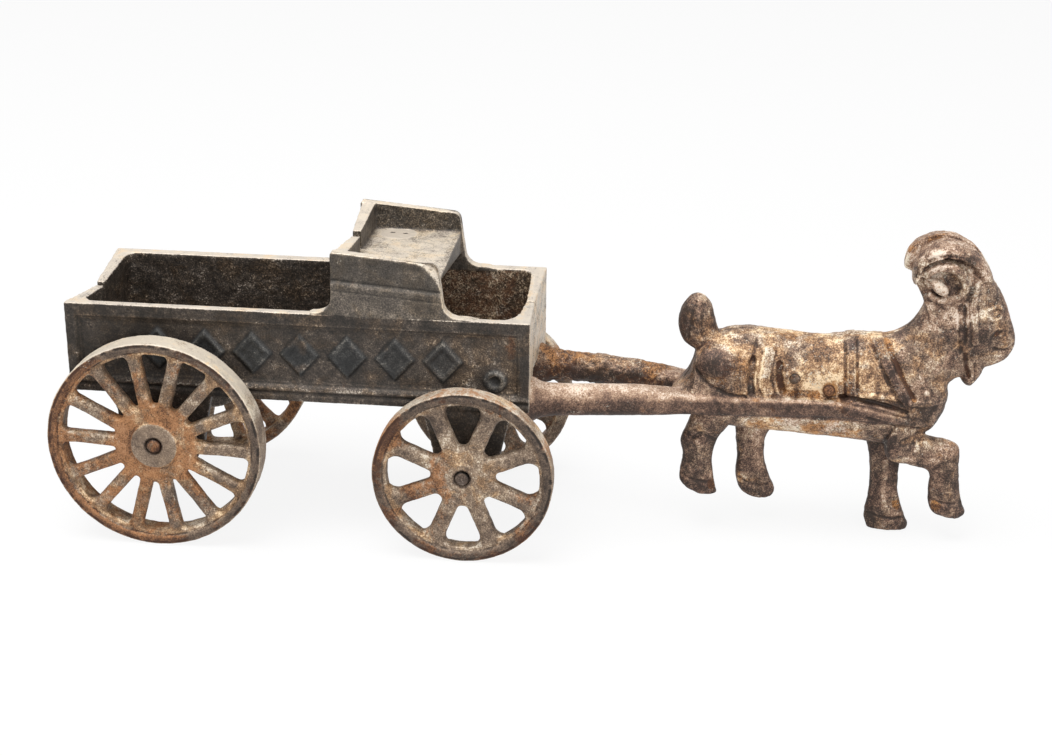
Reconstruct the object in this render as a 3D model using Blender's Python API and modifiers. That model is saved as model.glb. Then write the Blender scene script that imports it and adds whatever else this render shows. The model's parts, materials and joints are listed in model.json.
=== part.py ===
# Cast iron goat cart toy, in metres with +Z up.
# +X points from the wagon to the goat and +Y to the toy's left. The origin is on the ground, in the
# middle of the toy's length, on the plane where the right and the left casting meet. The X values
# below count from the wagon's front wall, and an empty moves the finished toy to the origin.
import math

import bmesh
import bpy
from mathutils import Matrix, Vector

MM = 0.001

# Clearances
GAP = 0.3 * MM
SEAM_HALF_GAP = 0.3 * MM

# Wheels and axles
REAR_AXLE_X = -109.0 * MM
FRONT_AXLE_X = -18.25 * MM
REAR_RADIUS = 32.0 * MM
FRONT_RADIUS = 26.65 * MM
REAR_SPOKES = 14
FRONT_SPOKES = 8
REAR_STEPS = 42
FRONT_STEPS = 32
REAR_RIM = (37.1 * MM, 8.65 * MM)   # outer face from the middle of the toy, and how deep the rim is
FRONT_RIM = (36.5 * MM, 6.6 * MM)
RIM_WIDTH = 3.9 * MM
RIM_EDGE = 0.8 * MM
SPOKE_INSET = 0.6 * MM
SPOKE_DEPTH = 4.0 * MM
HUB_INNER_Y = 26.4 * MM
HUB_RADIUS = 5.2 * MM
HUB_ROOT = 1.2 * MM
HUB_RAISE = 0.5 * MM
REAR_RING_RADIUS = 6.5 * MM
FRONT_RING_RADIUS = 5.0 * MM
AXLE_RADIUS = 1.6 * MM
AXLE_HOLE_RADIUS = 1.9 * MM
COUNTERBORE_RADIUS = 2.65 * MM
COUNTERBORE_DEPTH = 0.9 * MM
AXLE_HEAD_RADIUS = 2.15 * MM
AXLE_HEAD_HEIGHT = 1.2 * MM
ROUND_STEPS = 16

# Openings between spokes: spoke width, low and high radius, radius of the low ends and of the high corners
REAR_WINDOW = (3.5 * MM, 12.4 * MM, 27.8 * MM, 0.7 * MM, 1.5 * MM)
FRONT_WINDOW = (4.5 * MM, 9.5 * MM, 22.4 * MM, 1.1 * MM, 2.2 * MM)
REAR_WINDOW_TURN = math.radians(87.5)
FRONT_WINDOW_TURN = math.radians(90.0)

# Wagon box
WAGON_LENGTH = 136.6 * MM
WAGON_HALF_WIDTH = 26.25 * MM
WAGON_BOTTOM_Z = 44.0 * MM
WAGON_RAIL_Z = 71.6 * MM
END_DIP = 2.5 * MM
END_LEAN = 1.3 * MM
SIDE_WALL = 3.5 * MM
END_WALL_AT_SIDE = 4.5 * MM
END_WALL_AT_SEAM = 2.6 * MM
FLOOR_UNDER_Z = 47.5 * MM
FLOOR_TOP_Z = 50.0 * MM
PARTITION_REAR_X = -57.3 * MM
PARTITION_FRONT_X = -53.0 * MM
PARTITION_LEAN_REAR = 1.3 * MM
PARTITION_LEAN_FRONT = 0.4 * MM
INNER_CORNER = 2.5 * MM
OUTER_CORNER = 0.9 * MM

# Raised frame and ornament on the wagon side
FRAME_DEPTH = 0.9 * MM
FRAME_END = 3.2 * MM
FRAME_LOW_Z = 48.2 * MM
FRAME_HIGH_Z = 67.8 * MM
LOZENGE_COUNT = 7
LOZENGE_PITCH = 14.0 * MM
LOZENGE_FIRST_X = -109.2 * MM
LOZENGE_WIDTH = 11.6 * MM
LOZENGE_HEIGHT = 13.0 * MM
LOZENGE_Z = 58.4 * MM
BOSS_X = -10.0 * MM
BOSS_Z = 53.2 * MM
BOSS_RADIUS = 3.4 * MM

# Axle lugs: half width at the wagon, half width near the axle, bottom radius
LUG_Y_OUTER = 25.9 * MM
LUG_Y_INNER = 23.1 * MM
REAR_LUG = (15.4 * MM, 12.6 * MM)
FRONT_LUG = (13.6 * MM, 9.2 * MM)

# Seat. The left casting stands a little higher than the right one.
LEFT_SEAT_RISE = 1.1 * MM
SEAT_TOP_Z = 82.8 * MM
SEAT_BACK_Z_SIDE = 90.0 * MM
SEAT_BACK_Z_SEAM = 87.3 * MM
SEAT_BACK_HALF_GAP = 0.9 * MM
SEAT_FRONT_X = -26.3 * MM
SEAT_DEEP_EDGE = 7.0 * MM
SEAT_THIN_EDGE = 0.9 * MM
CHEEK_OUTER_Y = 26.0 * MM
CHEEK_INNER_Y = 22.2 * MM
CHEEK_REAR_X = -57.6 * MM
CHEEK_REAR_Z = 90.2 * MM
CHEEK_TOP_FRONT_X = -26.8 * MM
CHEEK_TOP_FRONT_Z = 87.6 * MM
CHEEK_FRONT_X = -24.6 * MM
CHEEK_FOOT_X = (-64.5 * MM, -15.0 * MM)
CHEEK_LIP = 0.5 * MM
CHEEK_CORNERS = {"rear_foot": 5.5 * MM, "rear_top": 0.8 * MM, "front_top": 2.4 * MM, "front_foot": 4.5 * MM}
SHELF_LAP = 1.5 * MM
SHELF_LAP_DEPTH = 3.2 * MM

# Shafts
SHAFT_RADIUS = 4.85 * MM
SHAFT_Z = 43.9 * MM
SHAFT_END_X = 46.1 * MM
SHAFT_OVERRUN = 3.0
FLARE_TRIM = 20 * MM

# Shaft knots from the wagon to the goat, in millimetres: x, y, size
SHAFT_ROUTE = [(-4.0, -15.2, 1.45), (0.5, -14.6, 1.28), (5.0, -14.1, 1.06), (11.0, -13.4, 1.0),
               (20.0, -12.2, 0.98), (32.0, -10.1, 0.98), (SHAFT_END_X / MM + SHAFT_OVERRUN, -6.6, 1.0)]

# Goat
NOSE_X = 139.8 * MM
GOAT_WALL = 2.6 * MM
RIVET_RADIUS = 1.55 * MM
RIVET_HALF_LENGTH = 10.4 * MM
RIVET_BOSS_RADIUS = 3.6 * MM
RIVET_BOSS_REACH = 8.6 * MM
RIVETS = {"goat_rivet_rear": (76.7 * MM, 52.1 * MM), "goat_rivet_front": (86.7 * MM, 49.0 * MM)}
RING_POINTS = 9

BROWN_IRON = (0.100, 0.082, 0.068)
RUSTY_IRON = (0.235, 0.165, 0.115)
GREY_IRON = (0.205, 0.175, 0.145)
STEEL = (0.190, 0.150, 0.125)


def clear_scene():
    for old in list(bpy.data.objects):
        bpy.data.objects.remove(old, do_unlink=True)


def new_collection(name):
    collection = bpy.data.collections.new(name)
    bpy.context.scene.collection.children.link(collection)
    return collection


clear_scene()
PARTS = new_collection("goat_cart_toy")
CUTTERS = new_collection("cutters")


def add_object(name, data, collection=PARTS):
    obj = bpy.data.objects.new(name, data)
    collection.objects.link(obj)
    if collection == CUTTERS:
        obj.hide_render = True
        obj.display_type = "WIRE"
    return obj


def finish(obj, colour, roughness=0.7, metallic=0.4, smooth_angle=35.0):
    """Gives a piece its own material and smooth shading with sharp edges kept."""
    material = bpy.data.materials.new(obj.name)
    material.use_nodes = True
    shader = material.node_tree.nodes["Principled BSDF"]
    shader.inputs["Base Color"].default_value = (*colour, 1.0)
    shader.inputs["Roughness"].default_value = roughness
    shader.inputs["Metallic"].default_value = metallic
    obj.data.materials.clear()
    obj.data.materials.append(material)
    obj.data.shade_smooth()
    obj.data.set_sharp_from_angle(angle=math.radians(smooth_angle))
    return obj


def boolean(obj, other, operation):
    modifier = obj.modifiers.new(f"{operation.lower()}_{other.name}", "BOOLEAN")
    modifier.operation = operation
    modifier.object = other
    modifier.solver = "EXACT"


def evaluated_mesh(obj):
    bpy.context.view_layer.update()
    graph = bpy.context.evaluated_depsgraph_get()
    return bpy.data.meshes.new_from_object(obj.evaluated_get(graph))


def mesh_from_bmesh(bm, name):
    bmesh.ops.recalc_face_normals(bm, faces=bm.faces)
    mesh = bpy.data.meshes.new(name)
    bm.to_mesh(mesh)
    bm.free()
    return mesh


def mirrored(source, name):
    """The left twin of a right piece: its finished mesh, reflected in the seam plane."""
    mesh = evaluated_mesh(source)
    mesh.name = name
    mesh.transform(Matrix.Scale(-1.0, 4, (0.0, 1.0, 0.0)) @ source.matrix_world)
    mesh.flip_normals()
    return add_object(name, mesh)


def rounded(corners, steps=3):
    """Turns corners (x, z, radius) into outline points, each corner an arc of that radius."""
    points = []
    for index, (x, z, radius) in enumerate(corners):
        corner = Vector((x, z))
        before = Vector(corners[index - 1][:2]) - corner
        after = Vector(corners[(index + 1) % len(corners)][:2]) - corner
        if radius == 0.0:
            points.append(corner)
            continue
        half = before.angle(after) / 2.0
        before.normalize()
        after.normalize()
        centre = corner + (before + after).normalized() * (radius / math.sin(half))
        start = corner + before * (radius / math.tan(half)) - centre
        end = corner + after * (radius / math.tan(half)) - centre
        for step in range(steps + 1):
            arm = start.lerp(end, step / steps).normalized() * radius
            points.append(centre + arm)
    return points


def plate(name, outlines, y_low, y_high, collection=CUTTERS):
    """A flat plate from closed XZ outlines, between two Y planes."""
    curve = bpy.data.curves.new(name, "CURVE")
    curve.dimensions = "2D"
    curve.fill_mode = "BOTH"
    curve.extrude = (y_high - y_low) / 2.0
    for outline in outlines:
        spline = curve.splines.new("POLY")
        spline.points.add(len(outline) - 1)
        for point, (x, z) in zip(spline.points, outline):
            point.co = (x, z, 0.0, 1.0)
        spline.use_cyclic_u = True
    flat = add_object(name + "_outline", curve, CUTTERS)
    flat.location.y = (y_low + y_high) / 2.0
    flat.rotation_euler.x = math.pi / 2.0
    bpy.context.view_layer.update()
    place = flat.matrix_world.copy()
    mesh = evaluated_mesh(flat)
    bpy.data.objects.remove(flat)
    bm = bmesh.new()
    bm.from_mesh(mesh)
    bmesh.ops.remove_doubles(bm, verts=bm.verts, dist=0.01 * MM)
    bpy.data.meshes.remove(mesh)
    solid = add_object(name, mesh_from_bmesh(bm, name), collection)
    solid.matrix_world = place
    return solid


def block(name, corner, collection=CUTTERS, bevel=0.0, segments=2):
    """A cube whose eight corners are moved to corner(sx, sy, sz), each sign being -1 or 1."""
    bm = bmesh.new()
    bmesh.ops.create_cube(bm, size=2.0)
    for vert in bm.verts:
        vert.co = corner(*[round(value) for value in vert.co])
    obj = add_object(name, mesh_from_bmesh(bm, name), collection)
    if bevel:
        modifier = obj.modifiers.new("rounding", "BEVEL")
        modifier.width = bevel
        modifier.segments = segments
    return obj


def box(name, low, high, collection=CUTTERS):
    return block(name, lambda *signs: [high[i] if signs[i] > 0 else low[i] for i in range(3)], collection)


def rod(name, radius, x, z, y_low, y_high, steps=ROUND_STEPS):
    """A cylinder along Y, used as a cutter or as a boss to be joined."""
    bm = bmesh.new()
    place = Matrix.Translation((x, (y_low + y_high) / 2.0, z)) @ Matrix.Rotation(math.pi / 2.0, 4, "X")
    bmesh.ops.create_cone(bm, cap_ends=True, segments=steps, radius1=radius, radius2=radius,
                          depth=y_high - y_low, matrix=place)
    return add_object(name, mesh_from_bmesh(bm, name), CUTTERS)


def turned(name, profile, steps, closed, collection=PARTS):
    """A shape turned about Z from (radius, z) points, laid with its axis along Y."""
    mesh = bpy.data.meshes.new(name)
    edges = [(i, i + 1) for i in range(len(profile) - 1)]
    if closed:
        edges.append((len(profile) - 1, 0))
    mesh.from_pydata([(radius, 0.0, z) for radius, z in profile], edges, [])
    obj = add_object(name, mesh, collection)
    screw = obj.modifiers.new("turned", "SCREW")
    screw.axis = "Z"
    screw.steps = steps
    screw.render_steps = steps
    screw.use_merge_vertices = True
    screw.merge_threshold = 0.01 * MM
    screw.use_normal_calculate = True
    return obj


def wheel_profile(radius, rim, ring_radius):
    """Closed (radius, outward) outline of rim, spoke disc and hub, measured from the wagon side."""
    face, depth = rim
    back = face - depth
    rim_inner = radius - RIM_WIDTH
    spoke_face = face - SPOKE_INSET
    spoke_back = spoke_face - SPOKE_DEPTH
    hub_face = spoke_face + HUB_RAISE
    slope = RIM_EDGE / 2.0
    return [
        (AXLE_HOLE_RADIUS, hub_face - COUNTERBORE_DEPTH), (COUNTERBORE_RADIUS, hub_face - COUNTERBORE_DEPTH),
        (COUNTERBORE_RADIUS, hub_face), (ring_radius, hub_face), (ring_radius + slope, spoke_face),
        (rim_inner, spoke_face), (rim_inner + slope, face),
        (radius - RIM_EDGE, face), (radius, face - RIM_EDGE),
        (radius, back + RIM_EDGE), (radius - RIM_EDGE, back),
        (rim_inner + slope, back), (rim_inner, spoke_back),
        (HUB_RADIUS + HUB_ROOT, spoke_back), (HUB_RADIUS, spoke_back - HUB_ROOT), (HUB_RADIUS, HUB_INNER_Y),
        (AXLE_HOLE_RADIUS, HUB_INNER_Y),
    ]


def window_outline(spokes, spoke_width, r_low, r_high, end_radius, corner_radius, angle):
    """The opening between two spokes, as points in the wheel's plane."""
    half_pitch = math.pi / spokes

    def half_width(r):
        return r * math.tan(half_pitch) - spoke_width / 2.0 / math.cos(half_pitch)

    corners = [(r_low, -half_width(r_low), end_radius), (r_high, -half_width(r_high), corner_radius),
               (r_high + 0.5 * MM, 0.0, 0.0),
               (r_high, half_width(r_high), corner_radius), (r_low, half_width(r_low), end_radius)]
    turn = Matrix.Rotation(angle, 2)
    return [turn @ point for point in rounded(corners, 2)]


def right_wheel(name, x, radius, rim, steps, spokes, windows, ring_radius, turn):
    """A spoked wheel on the -Y side, its origin on the axle line."""
    wheel = turned(name, wheel_profile(radius, rim, ring_radius), steps, True)
    outlines = [window_outline(spokes, *windows, turn + index * math.tau / spokes) for index in range(spokes)]
    cutter = plate(name + "_windows", outlines, -rim[0] - 2 * MM, -HUB_INNER_Y + 2 * MM)
    axle_z = axle_height(radius, steps)
    cutter.location.x += x
    cutter.location.z += axle_z
    wheel.location = (x, 0.0, axle_z)
    wheel.rotation_euler = (math.pi / 2.0, math.pi / 2.0 + math.pi / steps, 0.0)
    boolean(wheel, cutter, "DIFFERENCE")
    return finish(wheel, RUSTY_IRON, 0.75, 0.35)


def axle_height(radius, steps):
    """The wheel stands on the middle of one of its flats."""
    return radius * math.cos(math.pi / steps)


def left_wheel(source, name):
    """The same wheel turned round to the +Y side about the vertical."""
    wheel = add_object(name, evaluated_mesh(source))
    wheel.matrix_world = (Matrix.Translation(source.location) @ Matrix.Rotation(math.pi, 4, "Z")
                          @ Matrix.Translation(-source.location) @ source.matrix_world)
    return finish(wheel, RUSTY_IRON, 0.75, 0.35)


def wheels():
    rear = right_wheel("rear_wheel_right", REAR_AXLE_X, REAR_RADIUS, REAR_RIM, REAR_STEPS, REAR_SPOKES,
                       REAR_WINDOW, REAR_RING_RADIUS, REAR_WINDOW_TURN)
    left_wheel(rear, "rear_wheel_left")
    front = right_wheel("front_wheel_right", FRONT_AXLE_X, FRONT_RADIUS, FRONT_RIM, FRONT_STEPS, FRONT_SPOKES,
                        FRONT_WINDOW, FRONT_RING_RADIUS, FRONT_WINDOW_TURN)
    left_wheel(front, "front_wheel_left")


def axle(name, x, z, rim):
    """A wire axle from wheel to wheel, both ends hammered to a low round head."""
    shoulder = rim[0] - SPOKE_INSET + HUB_RAISE - COUNTERBORE_DEPTH + GAP
    end = shoulder + AXLE_HEAD_HEIGHT
    half = [(0.0, end), (AXLE_HEAD_RADIUS * 0.6, end - 0.1 * MM), (AXLE_HEAD_RADIUS, end - 0.5 * MM),
            (AXLE_HEAD_RADIUS, shoulder), (AXLE_RADIUS, shoulder)]
    profile = half + [(radius, -height) for radius, height in reversed(half)]
    piece = turned(name, profile, ROUND_STEPS, False)
    piece.location = (x, 0.0, z)
    piece.rotation_euler.x = math.pi / 2.0
    return finish(piece, STEEL, 0.5, 0.8)


def lean(y, at_side, at_seam):
    """A value that runs straight from the wagon side to the seam, both given, at a distance y."""
    share = 1.0 - abs(y) / WAGON_HALF_WIDTH if y <= 0.0 else 1.0 + y / WAGON_HALF_WIDTH
    return at_side + (at_seam - at_side) * share


def cross_wall(name, y_side, y_seam, rear, front, z_low, z_high, bevel=0.0, collection=CUTTERS):
    """A solid across the wagon whose ends and top change evenly from side to seam."""

    def corner(sx, sy, sz):
        y = y_side if sy < 0 else y_seam
        x = lean(y, *(rear if sx < 0 else front))
        z = z_low if sz < 0 else lean(y, *z_high)
        return (x, y, z)

    return block(name, corner, collection, bevel)


def lug_outline(x, z, top_half, low_radius):
    """A hanger below the wagon side, narrowing to a round end about the axle."""
    top = WAGON_BOTTOM_Z + 2.0 * MM
    points = [Vector((x - top_half, top)), Vector((x + top_half, top))]
    for step in range(9):
        angle = math.pi * step / 8.0
        points.append(Vector((x + low_radius * math.cos(angle), z - low_radius * math.sin(angle))))
    return points


def wagon_half_right(axles):
    """Side, half end walls, half floor, half partition under the seat back, and axle lugs."""
    rear, front = -WAGON_LENGTH, 0.0
    tub = cross_wall("wagon_half_right", -WAGON_HALF_WIDTH, -SEAM_HALF_GAP, (rear, rear + END_LEAN),
                     (front, front - END_LEAN), WAGON_BOTTOM_Z, (WAGON_RAIL_Z, WAGON_RAIL_Z - END_DIP),
                     OUTER_CORNER, PARTS)
    above = WAGON_RAIL_Z + 10 * MM
    beyond_seam = 6.0 * MM
    bed = cross_wall("bed_hollow", -WAGON_HALF_WIDTH + SIDE_WALL, beyond_seam,
                     (rear + END_WALL_AT_SIDE, rear + END_LEAN + END_WALL_AT_SEAM),
                     (PARTITION_REAR_X, PARTITION_REAR_X + PARTITION_LEAN_REAR),
                     FLOOR_TOP_Z, (above, above), INNER_CORNER)
    footwell = cross_wall("footwell_hollow", -WAGON_HALF_WIDTH + SIDE_WALL, beyond_seam,
                          (PARTITION_FRONT_X, PARTITION_FRONT_X - PARTITION_LEAN_FRONT),
                          (front - END_WALL_AT_SIDE, front - END_LEAN - END_WALL_AT_SEAM),
                          FLOOR_TOP_Z, (above, above), INNER_CORNER)
    under = box("under_floor", (rear - 5 * MM, -WAGON_HALF_WIDTH + SIDE_WALL, WAGON_BOTTOM_Z - 5 * MM),
                (front + 5 * MM, 5 * MM, FLOOR_UNDER_Z))
    recess = box("side_recess", (rear + FRAME_END, -WAGON_HALF_WIDTH - 5 * MM, FRAME_LOW_Z),
                 (front - FRAME_END, -WAGON_HALF_WIDTH + FRAME_DEPTH, FRAME_HIGH_Z))
    for hollow in (bed, footwell, under, recess):
        boolean(tub, hollow, "DIFFERENCE")
    ornament = plate("side_ornament", ornament_outlines(), -WAGON_HALF_WIDTH + 0.1 * MM,
                     -WAGON_HALF_WIDTH + FRAME_DEPTH + 1.0 * MM)
    lugs = plate("axle_lugs", [lug_outline(x, z, *size) for x, z, size in axles], -LUG_Y_OUTER, -LUG_Y_INNER)
    for addition in (ornament, lugs):
        boolean(tub, addition, "UNION")
    for x, z, size in axles:
        hole = rod("axle_hole", AXLE_HOLE_RADIUS, x, z, -WAGON_HALF_WIDTH - 5 * MM, -15 * MM)
        boolean(tub, hole, "DIFFERENCE")
    return finish(tub, BROWN_IRON)


def ornament_outlines():
    """A row of upright lozenges, with one small round boss near the front."""
    outlines = []
    half_width, half_height = LOZENGE_WIDTH / 2.0, LOZENGE_HEIGHT / 2.0
    for index in range(LOZENGE_COUNT):
        x = LOZENGE_FIRST_X + index * LOZENGE_PITCH
        outlines.append([Vector((x - half_width, LOZENGE_Z)), Vector((x, LOZENGE_Z - half_height)),
                         Vector((x + half_width, LOZENGE_Z)), Vector((x, LOZENGE_Z + half_height))])
    turns = [math.tau * step / 12 for step in range(12)]
    outlines.append([Vector((BOSS_X + BOSS_RADIUS * math.cos(a), BOSS_Z + BOSS_RADIUS * math.sin(a)))
                     for a in turns])
    return outlines


def cheek_outline(rise):
    """Side view of a seat cheek: upright back edge, sloping top, and feet that run out on the rail."""
    foot = WAGON_RAIL_Z + GAP
    lip = foot + CHEEK_LIP
    rear_foot, front_foot = CHEEK_FOOT_X
    corner = CHEEK_CORNERS
    return rounded([(rear_foot, foot, 0.0), (front_foot, foot, 0.0), (front_foot, lip, 0.0),
                    (CHEEK_FRONT_X, lip, corner["front_foot"]),
                    (CHEEK_TOP_FRONT_X, CHEEK_TOP_FRONT_Z + rise, corner["front_top"]),
                    (CHEEK_REAR_X, CHEEK_REAR_Z + rise, corner["rear_top"]),
                    (CHEEK_REAR_X, lip, corner["rear_foot"]), (rear_foot, lip, 0.0)])


def cheek_and_back(name, rise, collection):
    """A cheek on the right side with its half of the seat back, both taller by the rise."""
    cheek = plate(name, [cheek_outline(rise)], -CHEEK_OUTER_Y, -CHEEK_INNER_Y, collection)
    back = cross_wall(name + "_back", -CHEEK_INNER_Y - 1.0 * MM, -SEAT_BACK_HALF_GAP,
                      (PARTITION_REAR_X, PARTITION_REAR_X + PARTITION_LEAN_REAR),
                      (PARTITION_FRONT_X, PARTITION_FRONT_X - PARTITION_LEAN_FRONT),
                      WAGON_RAIL_Z + GAP, (SEAT_BACK_Z_SIDE + rise, SEAT_BACK_Z_SEAM + rise))
    boolean(cheek, back, "UNION")
    return cheek


def seat_half_left():
    """Left cheek and half back, and the whole shelf, which thins as it runs to the right cheek."""
    seat = mirrored(cheek_and_back("left_cheek", LEFT_SEAT_RISE, CUTTERS), "seat_half_left")
    far_edge = CHEEK_INNER_Y + 1.0 * MM
    near_edge = -CHEEK_INNER_Y + GAP
    rear = PARTITION_FRONT_X + GAP

    def shelf_corner(sx, sy, sz):
        y = near_edge if sy < 0 else far_edge
        depth = SEAT_THIN_EDGE if sy < 0 else SEAT_DEEP_EDGE
        return (rear if sx < 0 else SEAT_FRONT_X, y, SEAT_TOP_Z if sz > 0 else SEAT_TOP_Z - depth)

    shelf = block("seat_shelf", shelf_corner)
    inner_end = SEAT_BACK_HALF_GAP + 0.5 * MM
    joint = box("shelf_joint", (rear - SHELF_LAP, inner_end, SEAT_TOP_Z - SHELF_LAP_DEPTH),
                (rear + SHELF_LAP, far_edge, SEAT_TOP_Z - 0.1 * MM))
    boolean(seat, shelf, "UNION")
    boolean(seat, joint, "UNION")
    return finish(seat, BROWN_IRON)


def swept(name, points, radius, collection=PARTS):
    """A round bar along points (x, y, z, size), as a mesh with welded end caps."""
    curve = bpy.data.curves.new(name, "CURVE")
    curve.dimensions = "3D"
    curve.bevel_depth = radius
    curve.bevel_resolution = 2
    curve.use_fill_caps = True
    spline = curve.splines.new("POLY")
    spline.points.add(len(points) - 1)
    for point, (x, y, z, size) in zip(spline.points, points):
        point.co = (x, y, z, 1.0)
        point.radius = size
    path = add_object(name + "_path", curve, CUTTERS)
    mesh = evaluated_mesh(path)
    bpy.data.objects.remove(path)
    bm = bmesh.new()
    bm.from_mesh(mesh)
    bpy.data.meshes.remove(mesh)
    bmesh.ops.remove_doubles(bm, verts=bm.verts, dist=0.01 * MM)
    return add_object(name, mesh_from_bmesh(bm, name), collection)


def smooth_path(knots, steps):
    """Points on a Catmull-Rom curve through the knots, each knot a tuple of numbers."""
    ends = [knots[0]] + list(knots) + [knots[-1]]
    points = []
    for before, start, end, after in zip(ends, ends[1:], ends[2:], ends[3:]):
        for step in range(steps):
            t = step / steps
            weights = (-t + 2 * t * t - t ** 3, 2 - 5 * t * t + 3 * t ** 3, t + 4 * t * t - 3 * t ** 3,
                       -t * t + t ** 3)
            points.append(tuple(sum(w * k[i] for w, k in zip(weights, (before, start, end, after))) / 2
                                for i in range(len(start))))
    points.append(knots[-1])
    return points


def shaft_right():
    """A round shaft that leaves the wagon's front wall with a flared root and closes on the goat."""
    points = [(x * MM, y * MM, SHAFT_Z, size) for x, y, size in smooth_path(SHAFT_ROUTE, 3)]
    shaft = swept("shaft_right", points, SHAFT_RADIUS)
    wall = cross_wall("wagon_front_trim", -WAGON_HALF_WIDTH - FLARE_TRIM, FLARE_TRIM,
                      (-FLARE_TRIM, -FLARE_TRIM), (GAP, GAP - END_LEAN), 0.0, (WAGON_RAIL_Z, WAGON_RAIL_Z))
    goat_side = box("shaft_end_trim", (SHAFT_END_X, -FLARE_TRIM, 0.0),
                    (SHAFT_END_X + FLARE_TRIM, FLARE_TRIM, WAGON_RAIL_Z))
    boolean(shaft, wall, "DIFFERENCE")
    boolean(shaft, goat_side, "DIFFERENCE")
    return finish(shaft, RUSTY_IRON)


def half_round(name, stations, steps=2, inset=0.0, flat=SEAM_HALF_GAP, side=-1.0, collection=CUTTERS):
    """A half round solid on the seam plane.

    Each station is (x low, z low, x high, z high, depth): the two ends of a line on the seam plane
    and how far the section stands out from it. The section is a half ellipse.
    """
    bm = bmesh.new()
    rings = []
    for x0, z0, x1, z1, depth in smooth_path(stations, steps):
        low, high = Vector((x0, z0)) * MM, Vector((x1, z1)) * MM
        middle, arm = (low + high) / 2.0, (high - low) / 2.0
        arm = arm * max(0.05, 1.0 - inset / arm.length)
        reach = max(0.2 * MM, depth * MM - inset)
        ring = []
        for index in range(RING_POINTS):
            angle = math.pi * index / (RING_POINTS - 1)
            point = middle + arm * math.cos(angle)
            out = flat + reach * math.sin(angle) ** 0.85
            ring.append(bm.verts.new((point.x, side * out, point.y)))
        rings.append(ring)
    for ring, following in zip(rings, rings[1:]):
        for index in range(RING_POINTS):
            other = (index + 1) % RING_POINTS
            bm.faces.new((ring[index], ring[other], following[other], following[index]))
    bm.faces.new(rings[0])
    bm.faces.new(rings[-1])
    return add_object(name, mesh_from_bmesh(bm, name), collection)


# Goat stations in millimetres: low end, high end, depth
BARREL = [(46.8, 46.5, 48.0, 53.6, 6.2), (48.0, 39.0, 50.5, 59.6, 8.6), (53.0, 35.0, 55.0, 63.2, 10.0),
          (62.0, 32.6, 62.0, 64.4, 10.4), (73.0, 32.2, 73.0, 63.6, 10.0), (85.0, 31.4, 84.5, 62.9, 9.7),
          (95.5, 31.0, 93.0, 64.3, 10.0), (106.0, 30.5, 101.5, 64.3, 10.0), (116.5, 34.6, 106.0, 65.6, 9.4),
          (120.4, 40.0, 109.2, 68.0, 8.8)]
HEAD = [(120.7, 40.3, 109.5, 68.3, 8.8), (121.9, 45.5, 111.5, 71.6, 8.0), (121.8, 50.0, 112.6, 74.8, 7.4),
        (124.6, 52.4, 111.0, 78.2, 7.0), (131.6, 55.6, 109.6, 80.6, 6.6), (137.0, 58.4, 109.0, 83.0, 6.3),
        (139.8, 63.8, 109.2, 85.6, 6.1), (137.4, 72.0, 110.6, 88.2, 6.0), (133.6, 80.0, 112.6, 90.0, 5.6),
        (129.0, 85.4, 116.0, 91.2, 4.8), (126.4, 89.4, 120.4, 92.2, 3.0)]
HORN = [(124.0, 86.0, 129.0, 87.4, 7.6), (120.6, 88.2, 125.2, 92.4, 8.4), (116.0, 88.6, 118.4, 95.6, 8.2),
        (112.4, 87.2, 111.0, 94.2, 7.8), (110.4, 84.6, 106.9, 89.2, 7.2), (109.6, 81.6, 106.4, 84.0, 6.2)]
EAR = [(121.6, 79.2, 124.2, 84.6, 7.8), (117.6, 77.6, 118.4, 87.2, 8.4), (113.6, 79.2, 113.0, 86.4, 8.0),
       (111.0, 81.4, 110.8, 84.4, 6.8)]
BEARD = [(125.0, 55.0, 132.0, 57.0, 3.6), (124.8, 52.2, 131.0, 54.0, 3.6), (125.8, 50.4, 129.8, 51.6, 3.0),
         (127.2, 49.6, 128.6, 49.8, 1.4)]
TAIL = [(49.4, 56.6, 55.4, 61.6, 4.2), (43.6, 59.6, 53.4, 63.6, 4.4), (41.8, 64.6, 52.4, 66.8, 4.2),
        (42.5, 69.6, 51.4, 70.4, 3.6), (45.0, 72.8, 49.2, 73.0, 2.0)]
RIB = [(SHAFT_END_X / MM + 0.3, -7.05, 43.9, 1.0), (52.0, -6.9, 43.8, 0.96), (62.0, -7.4, 43.4, 0.86),
       (76.0, -8.2, 43.2, 0.68), (90.0, -8.6, 43.0, 0.56), (102.0, -8.4, 41.8, 0.5), (112.0, -7.0, 40.0, 0.4),
       (118.0, -5.0, 38.6, 0.25)]

# Legs, each a stub that stays on the body and a free leg below it
REAR_RIGHT_STUB = [(47.2, 38.0, 60.0, 38.0, 8.4), (45.2, 33.4, 56.6, 32.8, 7.8),
                   (43.8, 29.2, 54.6, 28.8, 7.0)]
REAR_RIGHT_LEG = [(43.7, 28.8, 54.5, 28.4, 7.0), (44.7, 24.0, 53.7, 23.2, 5.8), (44.0, 18.4, 54.4, 17.2, 5.4),
                  (44.6, 14.8, 55.2, 13.6, 5.8), (48.0, 12.2, 55.6, 12.0, 5.4), (50.8, 11.2, 54.6, 11.4, 4.2)]
FRONT_RIGHT_STUB = [(104.0, 33.5, 108.5, 42.0, 8.6), (105.6, 26.6, 112.6, 37.4, 7.6),
                    (112.2, 24.7, 116.6, 34.3, 6.8)]
FRONT_RIGHT_LEG = [(112.6, 24.6, 117.0, 34.2, 6.8), (116.9, 23.6, 122.2, 33.2, 6.4),
                   (118.5, 21.4, 126.4, 30.8, 6.0), (118.6, 17.6, 127.2, 22.0, 5.4),
                   (118.8, 13.2, 128.8, 13.6, 5.6), (120.2, 9.8, 130.4, 10.0, 5.8),
                   (123.6, 8.0, 129.0, 7.6, 4.6)]
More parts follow.
